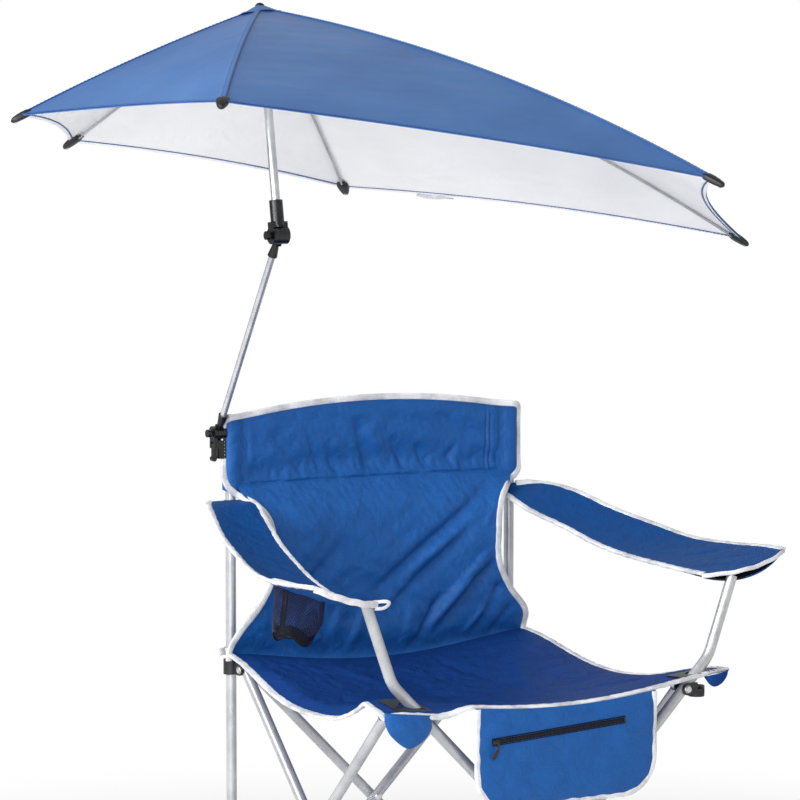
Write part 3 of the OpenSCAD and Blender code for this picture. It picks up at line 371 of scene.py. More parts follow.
def rounded(path, passes=3):
    # Corner cutting: each pass puts points at 1/4 and 3/4 of every leg and keeps the two ends
    path = np.asarray(path, float)
    for _ in range(passes):
        near, far = 0.75 * path[:-1] + 0.25 * path[1:], 0.25 * path[:-1] + 0.75 * path[1:]
        path = np.concatenate([path[:1], np.stack([near, far], 1).reshape(-1, path.shape[1]), path[-1:]])
    return path


stitchLength = 3.4


def stitchPart(path, facing, finish=0, pitch=5.0, radius=0.45):
    # A row of short threads that sit on the path, each bowed slightly proud
    line = evenly(path, pitch)
    start, step = line[:-1], np.diff(line, axis=0) * (stitchLength / pitch)
    facing = np.broadcast_to(np.asarray(facing, float), np.shape(path))
    at, known = np.linspace(0, 1, len(start)), np.linspace(0, 1, len(facing))
    lift = unit(np.stack([np.interp(at, known, facing[:, k]) for k in range(3)], -1))
    t = np.array([0, 0.5, 1])[None, :, None]
    paths = start[:, None] + step[:, None] * t + lift[:, None] * np.array([-0.3, 0.25, -0.3])[None, :, None]
    return strandsPart(paths, lift[:, None], radius, finish)


def through(knots, values, at):
    # Cubic Hermite curve through the values, with slopes from their differences
    knots, values = np.asarray(knots, float), np.asarray(values, float)
    slope = np.gradient(values, knots)
    k = np.clip(np.searchsorted(knots, at) - 1, 0, len(knots) - 2)
    h = knots[k + 1] - knots[k]
    t = np.clip((at - knots[k]) / h, 0, 1)
    return ((2 * t ** 3 - 3 * t ** 2 + 1) * values[k] + (t ** 3 - 2 * t ** 2 + t) * h * slope[k]
            + (3 * t ** 2 - 2 * t ** 3) * values[k + 1] + (t ** 3 - t ** 2) * h * slope[k + 1])


def smoothStep(x):
    x = np.clip(x, 0, 1)
    return x * x * (3 - 2 * x)


rippleWaves = 14


def ripples(x, y, longest, shortest, seed):
    # Sum of plane waves of random direction and phase, each as high as its wavelength to the power 0.8, and
    # scaled to about -1..1
    draw = np.random.default_rng(seed)
    shape = (rippleWaves,) + (1,) * np.ndim(x + y)
    turn = draw.uniform(0, math.pi, rippleWaves).reshape(shape)
    size = np.geomspace(longest, shortest, rippleWaves).reshape(shape)
    phase = draw.uniform(0, 2 * math.pi, rippleWaves).reshape(shape)
    height = size ** 0.8 * np.sin(2 * math.pi * (x * np.cos(turn) + y * np.sin(turn)) / size + phase)
    return height.sum(0) / (size ** 0.8).sum() * 2.2


def foldHeight(x, y, folds):
    # Each fold runs from one point to another: a Gaussian across its line, steeper on one side, fading at
    # its ends
    height = np.zeros_like(x)
    for ax, ay, bx, by, wide, tall in folds:
        dx, dy = bx - ax, by - ay
        reach = math.hypot(dx, dy)
        along = ((x - ax) * dx + (y - ay) * dy) / reach ** 2
        across = ((x - ax) * dy - (y - ay) * dx) / reach / wide
        skewed = across * np.where(across > 0, 1.5, 0.8)
        height += tall * np.exp(-skewed ** 2) * np.sin(math.pi * np.clip(along, 0, 1)) ** 0.6
    return height


# Degrees between two faces, above which their edge stays sharp
sharpAngle = 50


def buildPiece(name, parts, finishes, body):
    # Joins the parts into one mesh at the origin, with its UV map and finishes, and lets it ride on its body
    points, faces, uv, kinds, start = [], [], [], [], 0
    for part in parts:
        points.append(part["points"])
        uv.append(part["uv"])
        kinds += part["kinds"]
        faces += [[k + start for k in face] for face in part["faces"]]
        start += len(part["points"])
    mesh = bpy.data.meshes.new(name)
    mesh.from_pydata(place(np.concatenate(points)).tolist(), [], faces)
    corners = np.empty(len(mesh.loops), np.int32)
    mesh.loops.foreach_get("vertex_index", corners)
    mesh.uv_layers.new(name="cloth").data.foreach_set("uv", np.concatenate(uv)[corners].ravel())
    mesh.polygons.foreach_set("material_index", np.array(kinds, np.int32))
    for finish in finishes:
        mesh.materials.append(finish)
    mesh.shade_smooth()
    mesh.set_sharp_from_angle(angle=math.radians(sharpAngle))
    mesh.update()
    piece = bpy.data.objects.new(name, mesh)
    bpy.context.collection.objects.link(piece)
    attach(piece, body)
    return piece


print("surface tools ready")

# Seat

seatCloth = {
    "rearHalf": 272, "frontHalf": 300, "rearY": 233.6, "frontY": -272, "lip": 14,
    "cornerZ": 529.5, "endSag": 25, "sideSag": 36, "thick": 2.0, "cols": 190, "rows": 84,
    "hemBehind": 0.82, "depth": 504, "hemHalf": 2.4, "sideTape": (5.0, 2.7, 2.6, 2.2),
    "frontTape": (5.6, 2.8, 2.4, 2.5),
    "droop": [(0, 0), (0.12, 5), (0.3, 12), (0.55, 14), (0.75, 18), (0.84, 11), (0.9, 5), (0.95, 4), (1, 3)],
    "cornerHang": 13,
    "folds": [(-262, -40, -180, -190, 13, 2.6), (-120, 180, -60, 60, 16, 2.2), (60, 190, 120, 40, 14, -2.4),
              (190, 150, 120, -20, 15, 2.4), (-40, 120, 10, -40, 18, -2.2), (140, -60, 250, -190, 12, 2.4),
              (-230, 60, -130, -60, 14, -2.2), (30, -110, 150, -200, 12, -1.8),
              (-20, -150, -150, -215, 12, 2.0)],
}


def seatEndHeight(s):
    # Corner height less a sag that is deepest midway between the corners
    return seatCloth["cornerZ"] - seatCloth["endSag"] * np.clip(1 - s * s, 0, None) ** 1.5


def cornerHang(s, t):
    # The sitter's right front corner drops in front of the bar's end
    c = seatCloth
    fall = c["cornerHang"] * np.clip((t - 0.89) / 0.095, 0, 1) + 5 * smoothStep((t - 0.98) / 0.02)
    return (fall - 3.5 * np.exp(-((t - 0.88) / 0.03) ** 2)) * smoothStep((-0.5 - s) / 0.22)


def seatReach(t):
    # Half the seat's width, which grows from the rear edge to the front edge
    return seatCloth["rearHalf"] + (seatCloth["frontHalf"] - seatCloth["rearHalf"]) * t


def seatSurface(s, t):
    # Across from s = -1 to 1 and from the rear edge, t = 0, to the front edge, t = 1, which bulges forward
    c = seatCloth
    x = s * seatReach(t)
    y = c["rearY"] + (c["frontY"] - c["rearY"]) * t - c["lip"] * (1 - s * s) * t ** 3
    z = seatEndHeight(s) - c["sideSag"] * (4 * t * (1 - t)) ** 2 - c["thick"] / 2
    quiet = np.clip(np.minimum(1 - np.abs(s), np.minimum(t, 1 - t)) * 7, 0, 1)
    lift = 1.4 * foldHeight(x, y, c["folds"]) + 1.8 * ripples(x, y, 150, 28, 3)
    lift = lift + 0.7 * ripples(x, y, 40, 11, 7)
    behind = t - c["hemBehind"]
    hem = -0.9 * np.exp(-(behind * c["depth"] / c["hemHalf"]) ** 2) + 0.5 * smoothStep(behind * 80)
    droop = np.array(c["droop"], float)
    hang = through(droop[:, 0], droop[:, 1], t) * smoothStep((np.abs(s) - 0.885) / 0.115)
    hang = hang * np.where(s < 0, 1, 0.45 * (1 - t))
    height = z + lift * quiet - hang - cornerHang(s, t) + hem * np.clip((1 - np.abs(s)) * 9, 0, 1)
    return np.stack([x, y, height], -1)


def stitchedTape(line, inner, size, seed, rows=(1, -1)):
    # Folded tape along a border of the grid, with a row of stitches on each side that rows names.
    # It straddles the edge, and its width and thickness cockle a little. Its size is half its width, half its
    # thickness, how far in from the edge it lies, and how far out from its middle the stitches lie.
    halfWidth, halfThick, inset, proud = size
    inward = unit(inner - line)
    draw = np.random.default_rng(seed)
    run = runLength(line)
    cockle = sum(np.sin(run / wave * 2 * math.pi + draw.uniform(0, 6.28)) * wave ** 0.5
                 for wave in (34, 21, 13, 8.5)) / 9
    facing = unit(np.cross(unit(np.gradient(line, axis=0)), inner - line))
    path = line + inward * (inset + 0.25 * cockle[:, None])
    path = path + facing * 0.3 * np.roll(cockle, len(line) // 3)[:, None]
    tape = sweptPart(path, facing, halfWidth * (1 + 0.03 * cockle),
                     halfThick * (1 + 0.08 * np.roll(cockle, 5)), 1, 14, corner=0.55)
    return [tape] + [stitchPart(path + facing * proud * side, facing * side, 2) for side in rows]


def seatHalf(name, node, body, t0, t1, seed):
    # One half of the seat cloth with the tape on its free edges
    c = seatCloth
    s, t = np.meshgrid(np.linspace(-1, 1, c["cols"]), np.linspace(t0, t1, c["rows"]))
    mid = seatSurface(s, t)
    parts = [shellPart(mid, c["thick"], 0, turn=-1)]
    parts += stitchedTape(mid[:, 0], mid[:, 3], c["sideTape"], seed)
    parts += stitchedTape(mid[:, -1], mid[:, -4], c["sideTape"], seed + 1)
    if t1 == 1:
        parts += stitchedTape(mid[-1], mid[-4], c["frontTape"], seed + 7, rows=(1,))
        parts += armHoleShadePatches()
    piece = buildPiece(name, parts, [navyOxford, greyBinding, seamThread, bracketNylon], body)
    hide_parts(node)
    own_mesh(piece)


# Painted shade round the arm tubes: black patches where the holes in the seat lie in shadow
armHoleShade = {"half": (30, 27), "thick": 1.6, "lift": 1.9, "hole": 12.5, "rows": 5, "cols": 48,
            "at": [(-245, -246, 0.12), (245, -261, -0.1)], "frontLimit": -276}


def armHoleShadePatches():
    # Painted shade: a black patch round each arm tube, for the dark opening where the tube passes through the
    # seat; rings from the round hole to a square outline, laid on the seat
    c = armHoleShade
    angle = fullTurn(c["cols"])
    ca, sa = np.cos(angle), np.sin(angle)
    square = 1 / np.maximum(np.abs(ca) / c["half"][0], np.abs(sa) / c["half"][1])
    r = c["hole"] + (square - c["hole"]) * np.linspace(0, 1, c["rows"])[:, None]
    parts = []
    for x0, y0, turn in c["at"]:
        x = x0 + r * (ca * math.cos(turn) - sa * math.sin(turn))
        y = np.maximum(y0 + r * (ca * math.sin(turn) + sa * math.cos(turn)), c["frontLimit"])
        t = np.clip((seatCloth["rearY"] - y) / (seatCloth["rearY"] - seatCloth["frontY"]), 0, 0.995)
        top = seatSurface(np.clip(x / seatReach(t), -0.995, 0.995), t)
        parts.append(shellPart(np.stack([x, y, top[..., 2] + c["lift"]], -1), c["thick"], 3, turn=1))
    return parts


seamThread = powderCoat("bonded polyester thread", "#B9BCC4", "#DFE1E6", metallic=0.0, roughness=0.7)
blueThread = powderCoat("blue polyester thread", "#16397A", "#2B5AA6", metallic=0.0, roughness=0.7)
seatHalf("seatRear", "seat_rear_half", "seat_rear", 0.0, 0.4997, 21)
seatHalf("seatFront", "seat_front_half", "seat_front", 0.5003, 1.0, 31)
print("seat made")

# Back

backCloth = {
    "edge": [(-12, 272, 235.6), (0, 272, 235.2), (30, 266, 218), (70, 233, 212), (110, 211, 209),
             (165, 207, 207), (215, 218, 216), (248, 246, 238), (262, 247.6, 249.4), (300, 247.6, 249.4),
             (400, 247.6, 249.4)],
    "hem": 11, "tape": 4.9, "topZ": 893, "arch": 22, "belly": 24, "thick": 2.0, "cols": 210, "rows": 190,
    "seamZ": 788, "bandHalf": 247.6, "bandSeams": (-236, -228, 207, 215), "stitchR": 0.4, "wrap": (772, 892),
    "wrapThick": 1.4, "bindingLow": 764,
    "folds": [(212, 775, -20, 600, 14, -6.5), (190, 742, 40, 628, 10, 5.5), (160, 705, 5, 570, 12, -5.2),
              (214, 662, 92, 532, 10, -6.5), (196, 668, 96, 560, 9, 4.5), (222, 622, 168, 530, 9, -5.0),
              (212, 600, 150, 528, 8, 3.4), (240, 580, 205, 528, 8, -3.4), (160, 620, 80, 540, 12, 3.6),
              (60, 590, 40, 520, 13, 3.0), (110, 600, 60, 518, 8, -4.2), (-60, 700, -170, 600, 16, -3.4),
              (-70, 600, -100, 530, 11, 3.0), (-130, 585, -85, 522, 9, -3.4), (-190, 600, -120, 532, 12, 2.8),
              (-30, 585, -60, 520, 9, 3.2), (-215, 570, -150, 520, 9, -2.6), (-205, 690, -120, 590, 18, -2.6),
              (-180, 760, -110, 700, 14, 2.4), (-40, 740, 60, 690, 30, -2.0), (225, 770, 180, 700, 8, 3.0)],
    "gathers": [(-121, 858, -92, 796, 8, -2.4), (-88, 848, -66, 796, 8, -2.6), (-36, 885, -4, 792, 11, -4.0),
                (30, 850, 63, 793, 8, -3.0), (78, 838, 97, 792, 7, -3.0), (-190, 870, -120, 795, 12, -2.2),
                (162, 850, 146, 793, 9, 2.6), (180, 860, 128, 800, 10, -2.4), (-12, 870, 22, 800, 12, 2.6),
                (110, 880, 180, 840, 14, -2.0), (-150, 885, -60, 880, 12, -1.6),
                (50, 890, 140, 886, 10, 1.6)],
}


def backSurface(s, w):
    # Straight across between the drawn-in side edges and bellied to the rear, from the seat, w = 0, to the
    # arched top, w = 1
    c = backCloth
    edge = np.array(c["edge"], float)
    low = seatEndHeight(s) - c["hem"]
    z = low + (c["topZ"] + c["arch"] * (1 - s * s) - low) * w
    h = w * (c["topZ"] + c["hem"] - seatCloth["cornerZ"]) - c["hem"]
    x = s * through(edge[:, 0], edge[:, 1], h)
    y = through(edge[:, 0], edge[:, 2], h) + c["belly"] * (1 - s * s) * np.sin(math.pi * w ** 0.8)
    quiet = np.clip((1 - np.abs(s)) * 9, 0, 1) * np.clip(w * 18, 0, 1) * np.clip((1 - w) * 14, 0, 1)
    below = smoothStep((c["seamZ"] - z) / 10)
    above = smoothStep((z - c["seamZ"]) / 6)
    inBand = smoothStep((232 - np.abs(x)) / 5)
    draw = np.random.default_rng(8)
    short = [(x0 + draw.uniform(-5, 5), 790 + draw.uniform(14, 42), x0, 789, 4.5, draw.uniform(-1.6, 1.6))
             for x0 in np.arange(-215, 205, 15)]
    lift = 1.5 * foldHeight(x, z, c["folds"]) * below
    lift = lift + 1.6 * foldHeight(x, z, c["gathers"] + short) * above * inBand
    lift = lift + 2.0 * ripples(x, z, 190, 40, 4) + 0.9 * ripples(x + 0.4 * z, z, 46, 12, 6)
    band = 3.4 * above * inBand - 2.2 * np.exp(-((z - c["seamZ"]) / 2.0) ** 2)
    seams = [-2.4 * np.exp(-((x - x0) / 1.9) ** 2) * above for x0 in c["bandSeams"]]
    return np.stack([x, y - lift * quiet - band * quiet - sum(seams) * quiet, z], -1)


def postWrap(side):
    # The band's end, carried round the front of a post: a curve in plan, the same at every height
    plan = np.array([(226, 250.6), (238, 249.2), (245, 245.0), (254, 242.4), (263, 244.6), (267.2, 252.0),
                     (266, 260)])
    plan = rounded(plan * (side, 1), 3)
    z = np.linspace(*backCloth["wrap"], 60)[:, None]
    k = np.linspace(0, 1, len(plan))[None]
    mid = join(plan[:, 0], plan[:, 1], z)
    mid[..., 2] += 2 * (1 - k) * np.clip((z - 835) / 57, 0, 1) + 9 * k * np.clip((835 - z) / 63, 0, 1)
    pull = 0.9 * ripples(mid[..., 0] * 0.6, mid[..., 2] + 0.5 * side * mid[..., 0], 60, 14, 15 + side)
    mid[..., 1] -= pull * np.sin(math.pi * np.clip(k * 1.1, 0, 1))
    return mid


def backBinding(mid):
    # One tape all round: up a side edge, across the post's front, up the sleeve's outer side, along the top
    over = np.array([(249, 243.4, 772), (258, 241.6, 778), (266, 244.5, 786), (268.5, 250, 798),
                     (268.5, 251, 830), (268.5, 251, 878), (267.5, 248, 887), (262, 242.5, 891.5),
                     (254, 239.6, 893), (245, 241.8, 893.6), (236, 245.6, 894.2)])
    rows = np.nonzero(mid[:, 0, 2] < backCloth["bindingLow"])[0]
    sides = []
    for side, col, inner in ((-1, 0, 3), (1, -1, -4)):
        line = mid[rows, col]
        lower = line + unit(mid[rows, inner] - line) * 2.2 + (0, -0.6, 0)
        sides.append(np.concatenate([lower[:-1:3], lower[-1:], over * (side, 1, 1)]))
    top = mid[-1, 12:-12:5] + (0, -0.8, -1.8)
    path = evenly(rounded(np.concatenate([sides[0], top, sides[1][::-1]]), 2), 2.6)
    at = np.arange(len(path))
    path = path + np.outer(0.35 * np.sin(at * 0.9) + 0.3 * np.sin(at * 0.37), (0.5, 0.3, 0))
    tape = sweptPart(path, (0, -1, 0), backCloth["tape"], 2.6, 1, 14, corner=0.55)
    return [tape] + [stitchPart(path + (0, way * 2.5, 0), (0, way, 0), 2) for way in (-1, 1)]


def makeBack():
    c = backCloth
    s, w = np.meshgrid(np.linspace(-1, 1, c["cols"]), np.linspace(0, 1, c["rows"]))
    mid = backSurface(s, w)
    parts = [shellPart(mid, c["thick"], 0, turn=1)] + backBinding(mid)
    parts += [shellPart(postWrap(side), c["wrapThick"], 0, turn=side) for side in (-1, 1)]
    seamS = np.linspace(-0.93, 0.985, 300)[None]
    low = seatEndHeight(seamS) - c["hem"]
    seamW = (c["seamZ"] - 3 - low) / (c["topZ"] + c["arch"] * (1 - seamS ** 2) - low)
    bandW = np.linspace(0.72, 0.985, 60)[None]
    seams = [(seamS, seamW, 1.1)]
    seams += [(np.full((1, 60), x0 / c["bandHalf"]), bandW, 1.0) for x0 in c["bandSeams"]]
    front = np.array([0, -1, 0])
    for s, w, proud in seams:
        parts.append(stitchPart(backSurface(s, w)[0] + front * proud, front, 3, radius=c["stitchR"]))
    piece = buildPiece("backCloth", parts, [blueOxford, greyBinding, seamThread, blueThread], "chair_base")
    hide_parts("back")
    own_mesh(piece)


makeBack()

sleeve = {"outer": 10.0, "wall": 1.5, "low": 781, "high": 893, "cols": 48, "rows": 30,
          "domeR": 9.6, "domeRise": 1.4, "domeThick": 1.2}


def postSleeve(name, side, body):
    # Cloth tube round a post's top, closed by a low dome
    c = sleeve
    angle = fullTurn(c["cols"])[None]
    z = np.linspace(c["low"], c["high"], c["rows"])[:, None]
    pinch = 0.35 * np.sin(angle * 3 + z * 0.09) + 0.25 * np.sin(angle * 5 - z * 0.21)
    r = c["outer"] - c["wall"] / 2 - 0.4 + pinch
    tube = around(side * postOut, postOut, r, angle, z)
    rise = np.linspace(0, 1, 6)[:, None] * math.pi / 2
    dome = around(side * postOut, postOut, c["domeR"] * np.cos(rise) + 0.2, fullTurn(33)[None],
                  c["high"] + 0.7 + c["domeRise"] * np.sin(rise))
    parts = [shellPart(tube, c["wall"], 0, turn=1), shellPart(dome, c["domeThick"], 0, turn=1)]
    buildPiece(name, parts, [blueOxford], body)


postSleeve("sleeveRight", -1, "chair_base")
postSleeve("sleeveLeft", 1, "left_post")

strapLoop = {"halfWidth": 5.5, "halfThick": 1.1, "z": 531, "ringR": 11.2, "tail": 17}


def cornerStrap(name, side, body):
    # Tape from the cloth's rear corner round the post, with its folded tail standing out behind it
    c = strapLoop
    centre = np.array([side * postOut, postOut, c["z"]])
    turns = np.radians(np.linspace(-75, 255, 40))
    ring = centre + c["ringR"] * join(side * np.cos(turns), np.sin(turns), 0)
    start = np.array([side * 262, 236, c["z"]])
    path = evenly(rounded(np.concatenate([[start], ring]), 1), 2.2)
    out = side * c["ringR"]
    tail = np.array([(out, -2, 0), (out + side * 9, -7, 1.5), (out + side * c["tail"], -6, -1),
                     (out + side * 8, 2, -1.5), (out, 4, 0)])
    tail = rounded(centre + tail, 3)
    parts = [sweptPart(path, unit(path - centre), c["halfWidth"], c["halfThick"], 0, 12, corner=0.55),
             sweptPart(tail, (0, 0.25, 1), c["halfThick"], c["halfWidth"], 0, 12, corner=0.55)]
    buildPiece(name, parts, [greyBinding], body)


cornerStrap("cornerStrapRight", -1, "chair_base")
cornerStrap("cornerStrapLeft", 1, "left_post")
print("back made")

# Armrests

armrest = {
    "outer": {-1: [(246.2, 297, 765), (220, 314, 765), (180, 330, 758), (100, 356, 733), (20, 375, 715),
                   (-60, 393, 700), (-140, 406, 696), (-220, 410, 699), (-266, 407, 701)],
              1: [(246.2, 264, 766), (243, 284, 766), (236, 300, 765), (220, 311, 764), (180, 328, 757),
                  (100, 355, 732), (20, 375, 715), (-60, 393, 700), (-140, 407, 698), (-220, 411, 702),
                  (-266, 408, 703)]},
    "inner": {-1: [(246.2, 232, 765), (220, 229, 762), (180, 236, 745), (100, 254, 714), (20, 268, 690),
                   (-60, 282, 673), (-140, 292, 663), (-200, 297, 662), (-250, 296, 671)],
              1: [(246.2, 238, 750), (220, 236, 744), (180, 237, 732), (100, 256, 709), (20, 264, 689),
                  (-60, 268, 679), (-140, 269, 675), (-200, 268, 673), (-250, 267, 673)]},
    "frontTape": {-1: 4.8, 1: 3.4}, "ring": {-1: (754, 764), 1: (747, 764)}, "loop": 15,
    "bagDrop": {-1: 0.8, 1: 14}, "bagShort": {-1: 0.085, 1: 0.0}, "bagEnd": {-1: 0.98, 1: 0.95},
    "edgeTape": (4.6, 2.8, 2.0, 2.5), "collarR": 9.25, "cupTape": 7,
    "lip": 20, "sag": 5, "thick": 3.0, "pad": 3.4, "rows": 150, "cols": 46,
    "folds": [(0.2, 0.15, 0.8, 0.22, 0.02, -1.2), (0.15, 0.42, 0.85, 0.5, 0.016, -1.4),
              (0.3, 0.62, 0.9, 0.56, 0.02, 1.2), (0.1, 0.8, 0.6, 0.72, 0.015, -1.3),
              (0.2, 0.93, 0.55, 0.82, 0.014, -1.5), (0.5, 0.95, 0.9, 0.86, 0.012, -1.2)],
}
# Painted shade: the back's blue oxford in darker colours, for the armrests' tops, which lie in less light
armOxfordShaded = polyesterOxford("blue polyester oxford, armrests, painted shade", "#0B3C79", "#0F4586", "#235A99", shine=0.06,
                            dull=0.6)


def armrestEdge(rows, t):
    knots = np.array(rows, float)[::-1]
    y = rows[0][0] + (rows[-1][0] - rows[0][0]) * t
    return np.stack([through(knots[:, 0], knots[:, 1], y), y, through(knots[:, 0], knots[:, 2], y)], -1)


def armrestSurface(s, t, side):
    # From the outer edge, s = 0, to the inner, s = 1, and from the post, t = 0, to the bulging front, t = 1
    c = armrest
    outer, inner = armrestEdge(c["outer"][side], t), armrestEdge(c["inner"][side], t)
    bow = 4 * s * (1 - s)
    p = outer + (inner - outer) * s[..., None]
    p[..., 1] -= bow * c["lip"] * t ** 4
    quiet = awayFromEnds(s, 8) * awayFromEnds(t, 14)
    lift = foldHeight(s, t, c["folds"]) + 0.7 * ripples(p[..., 0], p[..., 1], 110, 24, 9 + side)
    p[..., 2] += lift * quiet - bow * c["sag"] * np.minimum(1, 6 * t) - c["thick"] / 2
    p[..., 0] *= side
    return p


def armrestBag(s, t, side):
    # The lower layer of the front pocket: it hangs below the armrest, and its mouth opens behind the tube
    c = armrest
    front = 0.985 - c["bagShort"][side] * smoothStep((s - 0.22) / 0.25)
    tt = 0.74 + (front - 0.74) * t
    p = armrestSurface(s, tt, side)
    p[..., 2] -= 3.0 + c["bagDrop"][side] * np.sin(math.pi * s) ** 0.7 * t ** 1.4
    return p


def armrestFront(mid, side):
    # Tape along the bulging front edge; on the sitter's right it ends in a loop
    c = armrest
    front = mid[-1]
    forward = unit(np.cross(unit(np.gradient(front, axis=0)), (0, 0, 1))) * side
    sway = 0.7 * np.sin(np.arange(len(front)) * 0.55)
    band = front + forward * 1.0 + np.array([0, 0, -2.6]) + sway[:, None] * np.array([0, 0, 0.7])
    middle = forward[len(forward) // 2]
    parts = [sweptPart(evenly(band, 2.5), middle, c["frontTape"][side], 2.4, 1, 14, corner=0.55),
             stitchPart(band + forward * 2.3, forward, 2)]
    if side < 0:
        far = c["loop"]
        loop = rounded(front[-1] + np.array([(-3, 1, -1), (0.4 * far, -7, 2), (far, -8, 0), (far, -7, -4),
                                             (0.5 * far, -5, -9), (-4, 0, -9)]), 3)
        parts.append(sweptPart(loop, (-0.3, 1, 0.2), 2.6, 1.1, 1, 12, corner=0.55))
    return parts


def armrestPocket(side):
    # The front pocket's lower layer with a rolled lip, which on the sitter's left turns black halfway along;
    # the black on the layer and lip is painted shade inside the pocket's mouth
    s, t = np.meshgrid(np.linspace(0.02, armrest["bagEnd"][side], 40), np.linspace(0, 1, 34))
    bag = armrestBag(s, t, side)
    lip = bag[-1]
    parts = [shellPart(bag, 1.2, 3, inside=0, turn=side)]
    for stretch, finish in ((lip[:23], 0), (lip[22:], 3 if side > 0 else 0)):
        parts.append(sweptPart(stretch, (0, 0.3, 1), 3.2, 1.3, finish, 10, corner=0.6))
    return parts


def armrestCollar(side):
    # Cloth loop that hangs the armrest on its post
    z = np.linspace(*armrest["ring"][side], 9)[:, None]
    angle = fullTurn(40)[None]
    r = armrest["collarR"] + 0.3 * np.sin(angle * 4 + z * 0.3)
    return shellPart(around(side * postOut, postOut, r, angle, z), 1.5, 0, turn=1)


def makeArmrest(side, name, node, body):
    c = armrest
    s, t = np.meshgrid(np.linspace(0, 1, c["cols"]), np.linspace(0, 1, c["rows"]))
    mid = armrestSurface(s, t, side)
    pad = c["thick"] + c["pad"] * (1 - (2 * s - 1) ** 4) * awayFromEnds(t, 12)
    away = np.hypot(mid[..., 0] - cupHolder["centre"][0], mid[..., 1] - cupHolder["centre"][1])
    pad = np.where(away < cupHolder["mouth"] + c["cupTape"], c["thick"], pad)
    parts = [shellPart(mid, pad, 0, turn=-side, keep=(away > cupHolder["mouth"])[:-1, :-1])]
    parts += stitchedTape(mid[:, 0], mid[:, 2], c["edgeTape"], 61)
    parts += stitchedTape(mid[:, -1], mid[:, -3], c["edgeTape"], 63)
    parts += armrestFront(mid, side) + armrestPocket(side) + [armrestCollar(side)]
    piece = buildPiece(name, parts, [armOxfordShaded, greyBinding, seamThread, pocketShadeLining], body)
    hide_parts(node)
    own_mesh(piece)


cupHolder = {"centre": (-345, -117), "rimZ": 679.0, "tilt": 16, "mouth": 36.5, "depth": 68, "threads": 46,
             "points": 34, "thread": 0.62, "seam": 207, "sway": (-13.0, -2.0)}


def netSurface(turn, v):
    # A slack round bag: full at the mouth, drawn in and crumpled toward a closed bottom, and swinging aside
    c = cupHolder
    r = c["mouth"] * (1 - 0.20 * smoothStep((v - 0.55) / 0.45)) - 0.8
    r = r * (1 + 0.05 * np.sin(2 * turn + 0.6) * v + 0.03 * np.sin(5 * turn + 8 * v) * v)
    x = r * np.cos(turn)
    y = r * np.sin(turn)
    drop = -c["depth"] * v + 6.5 * v * v * np.sin(2 * turn + 1.0) + 2.5 * v * np.sin(5 * turn)
    drop = drop - (1 - 0.2 * v) * x * math.tan(math.radians(c["tilt"]))
    return np.stack([c["centre"][0] + x + c["sway"][0] * v * v, c["centre"][1] + y + c["sway"][1] * v * v,
                     c["rimZ"] - 3.5 + drop], -1)


def makeNet():
    # Two sets of threads that cross as they wind down, bound at the mouth, the bottom and one seam
    c = cupHolder
    v = np.linspace(0, 1, c["points"])[None]
    first = (np.arange(c["threads"]) * 2 * math.pi / c["threads"])[:, None]
    parts = []
    for twist in (1.9, -1.9):
        turn = first + twist * v
        parts.append(strandsPart(netSurface(turn, v + 0 * turn), around(0, 0, 1, turn, 0), c["thread"], 0, 4))
    ring = fullTurn(90)[:-1]
    for at, wide in ((0.01, 2.2), (0.985, 3.4)):
        closed = netSurface(ring, np.full(89, at))
        parts.append(sweptPart(closed, around(0, 0, 1, ring, 0), wide, 1.1, 1, 10, corner=0.6, closed=True))
    seamTurn = math.radians(c["seam"])
    seam = netSurface(np.full(40, seamTurn), np.linspace(0, 1, 40))
    parts.append(sweptPart(seam, (math.cos(seamTurn), math.sin(seamTurn), 0), 4.6, 1.2, 1, 10, corner=0.6))
    at = np.linspace(0.0, 1, 16)[:, None]
    turn = fullTurn(61)[None]
    bottom = netSurface(turn, np.full(turn.shape, 1.0))
    middle = bottom.mean((0, 1)) + (0, 0, 3.0)
    floor = middle + (bottom - middle) * at[..., None]
    floor[..., 2] += 2.2 * ripples(floor[..., 0], floor[..., 1], 40, 12, 5) * (1 - at) * 1.5
    gusset = netSurface(turn, 0.82 + 0.18 * at + 0.03 * np.sin(4 * turn)) + around(0, 0, 0.5, turn, 0)
    parts += [shellPart(floor, 1.2, 1, turn=-1), shellPart(gusset, 0.9, 1, turn=-1)]
    net = buildPiece("cupNet", parts, [netThread, netBinding], "right_armrest")
    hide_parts("cup_holder")
    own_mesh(net)


def makeCupRim():
    # Tape round the hole in the armrest, which slopes with the cloth
    c = cupHolder
    ring = fullTurn(90)[:-1]
    slope = c["mouth"] * np.cos(ring) * math.tan(math.radians(c["tilt"]))
    path = around(*c["centre"], c["mouth"], ring, c["rimZ"] + 1.2 - slope)
    parts = [sweptPart(path, (0, 0, 1), 4.2, 2.2, 0, 12, corner=0.6, closed=True),
             stitchPart(path + (0, 0, 2.1), (0, 0, 1), 1)]
    rim = buildPiece("cupRim", parts, [greyBinding, seamThread], "right_armrest")
    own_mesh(rim)


# Painted shade: black for the shade inside the armrests' front pockets
pocketShadeLining = mouldedPlastic("black pocket lining, painted shade", "#050507", "#0C0D12", 0.8, 1.0)
makeArmrest(-1, "armrestRight", "armrest_right", "right_armrest")
makeArmrest(1, "armrestLeft", "armrest_left", "left_armrest")
makeNet()
makeCupRim()
print("armrests and cup holder made")

# Pouch and corner pockets

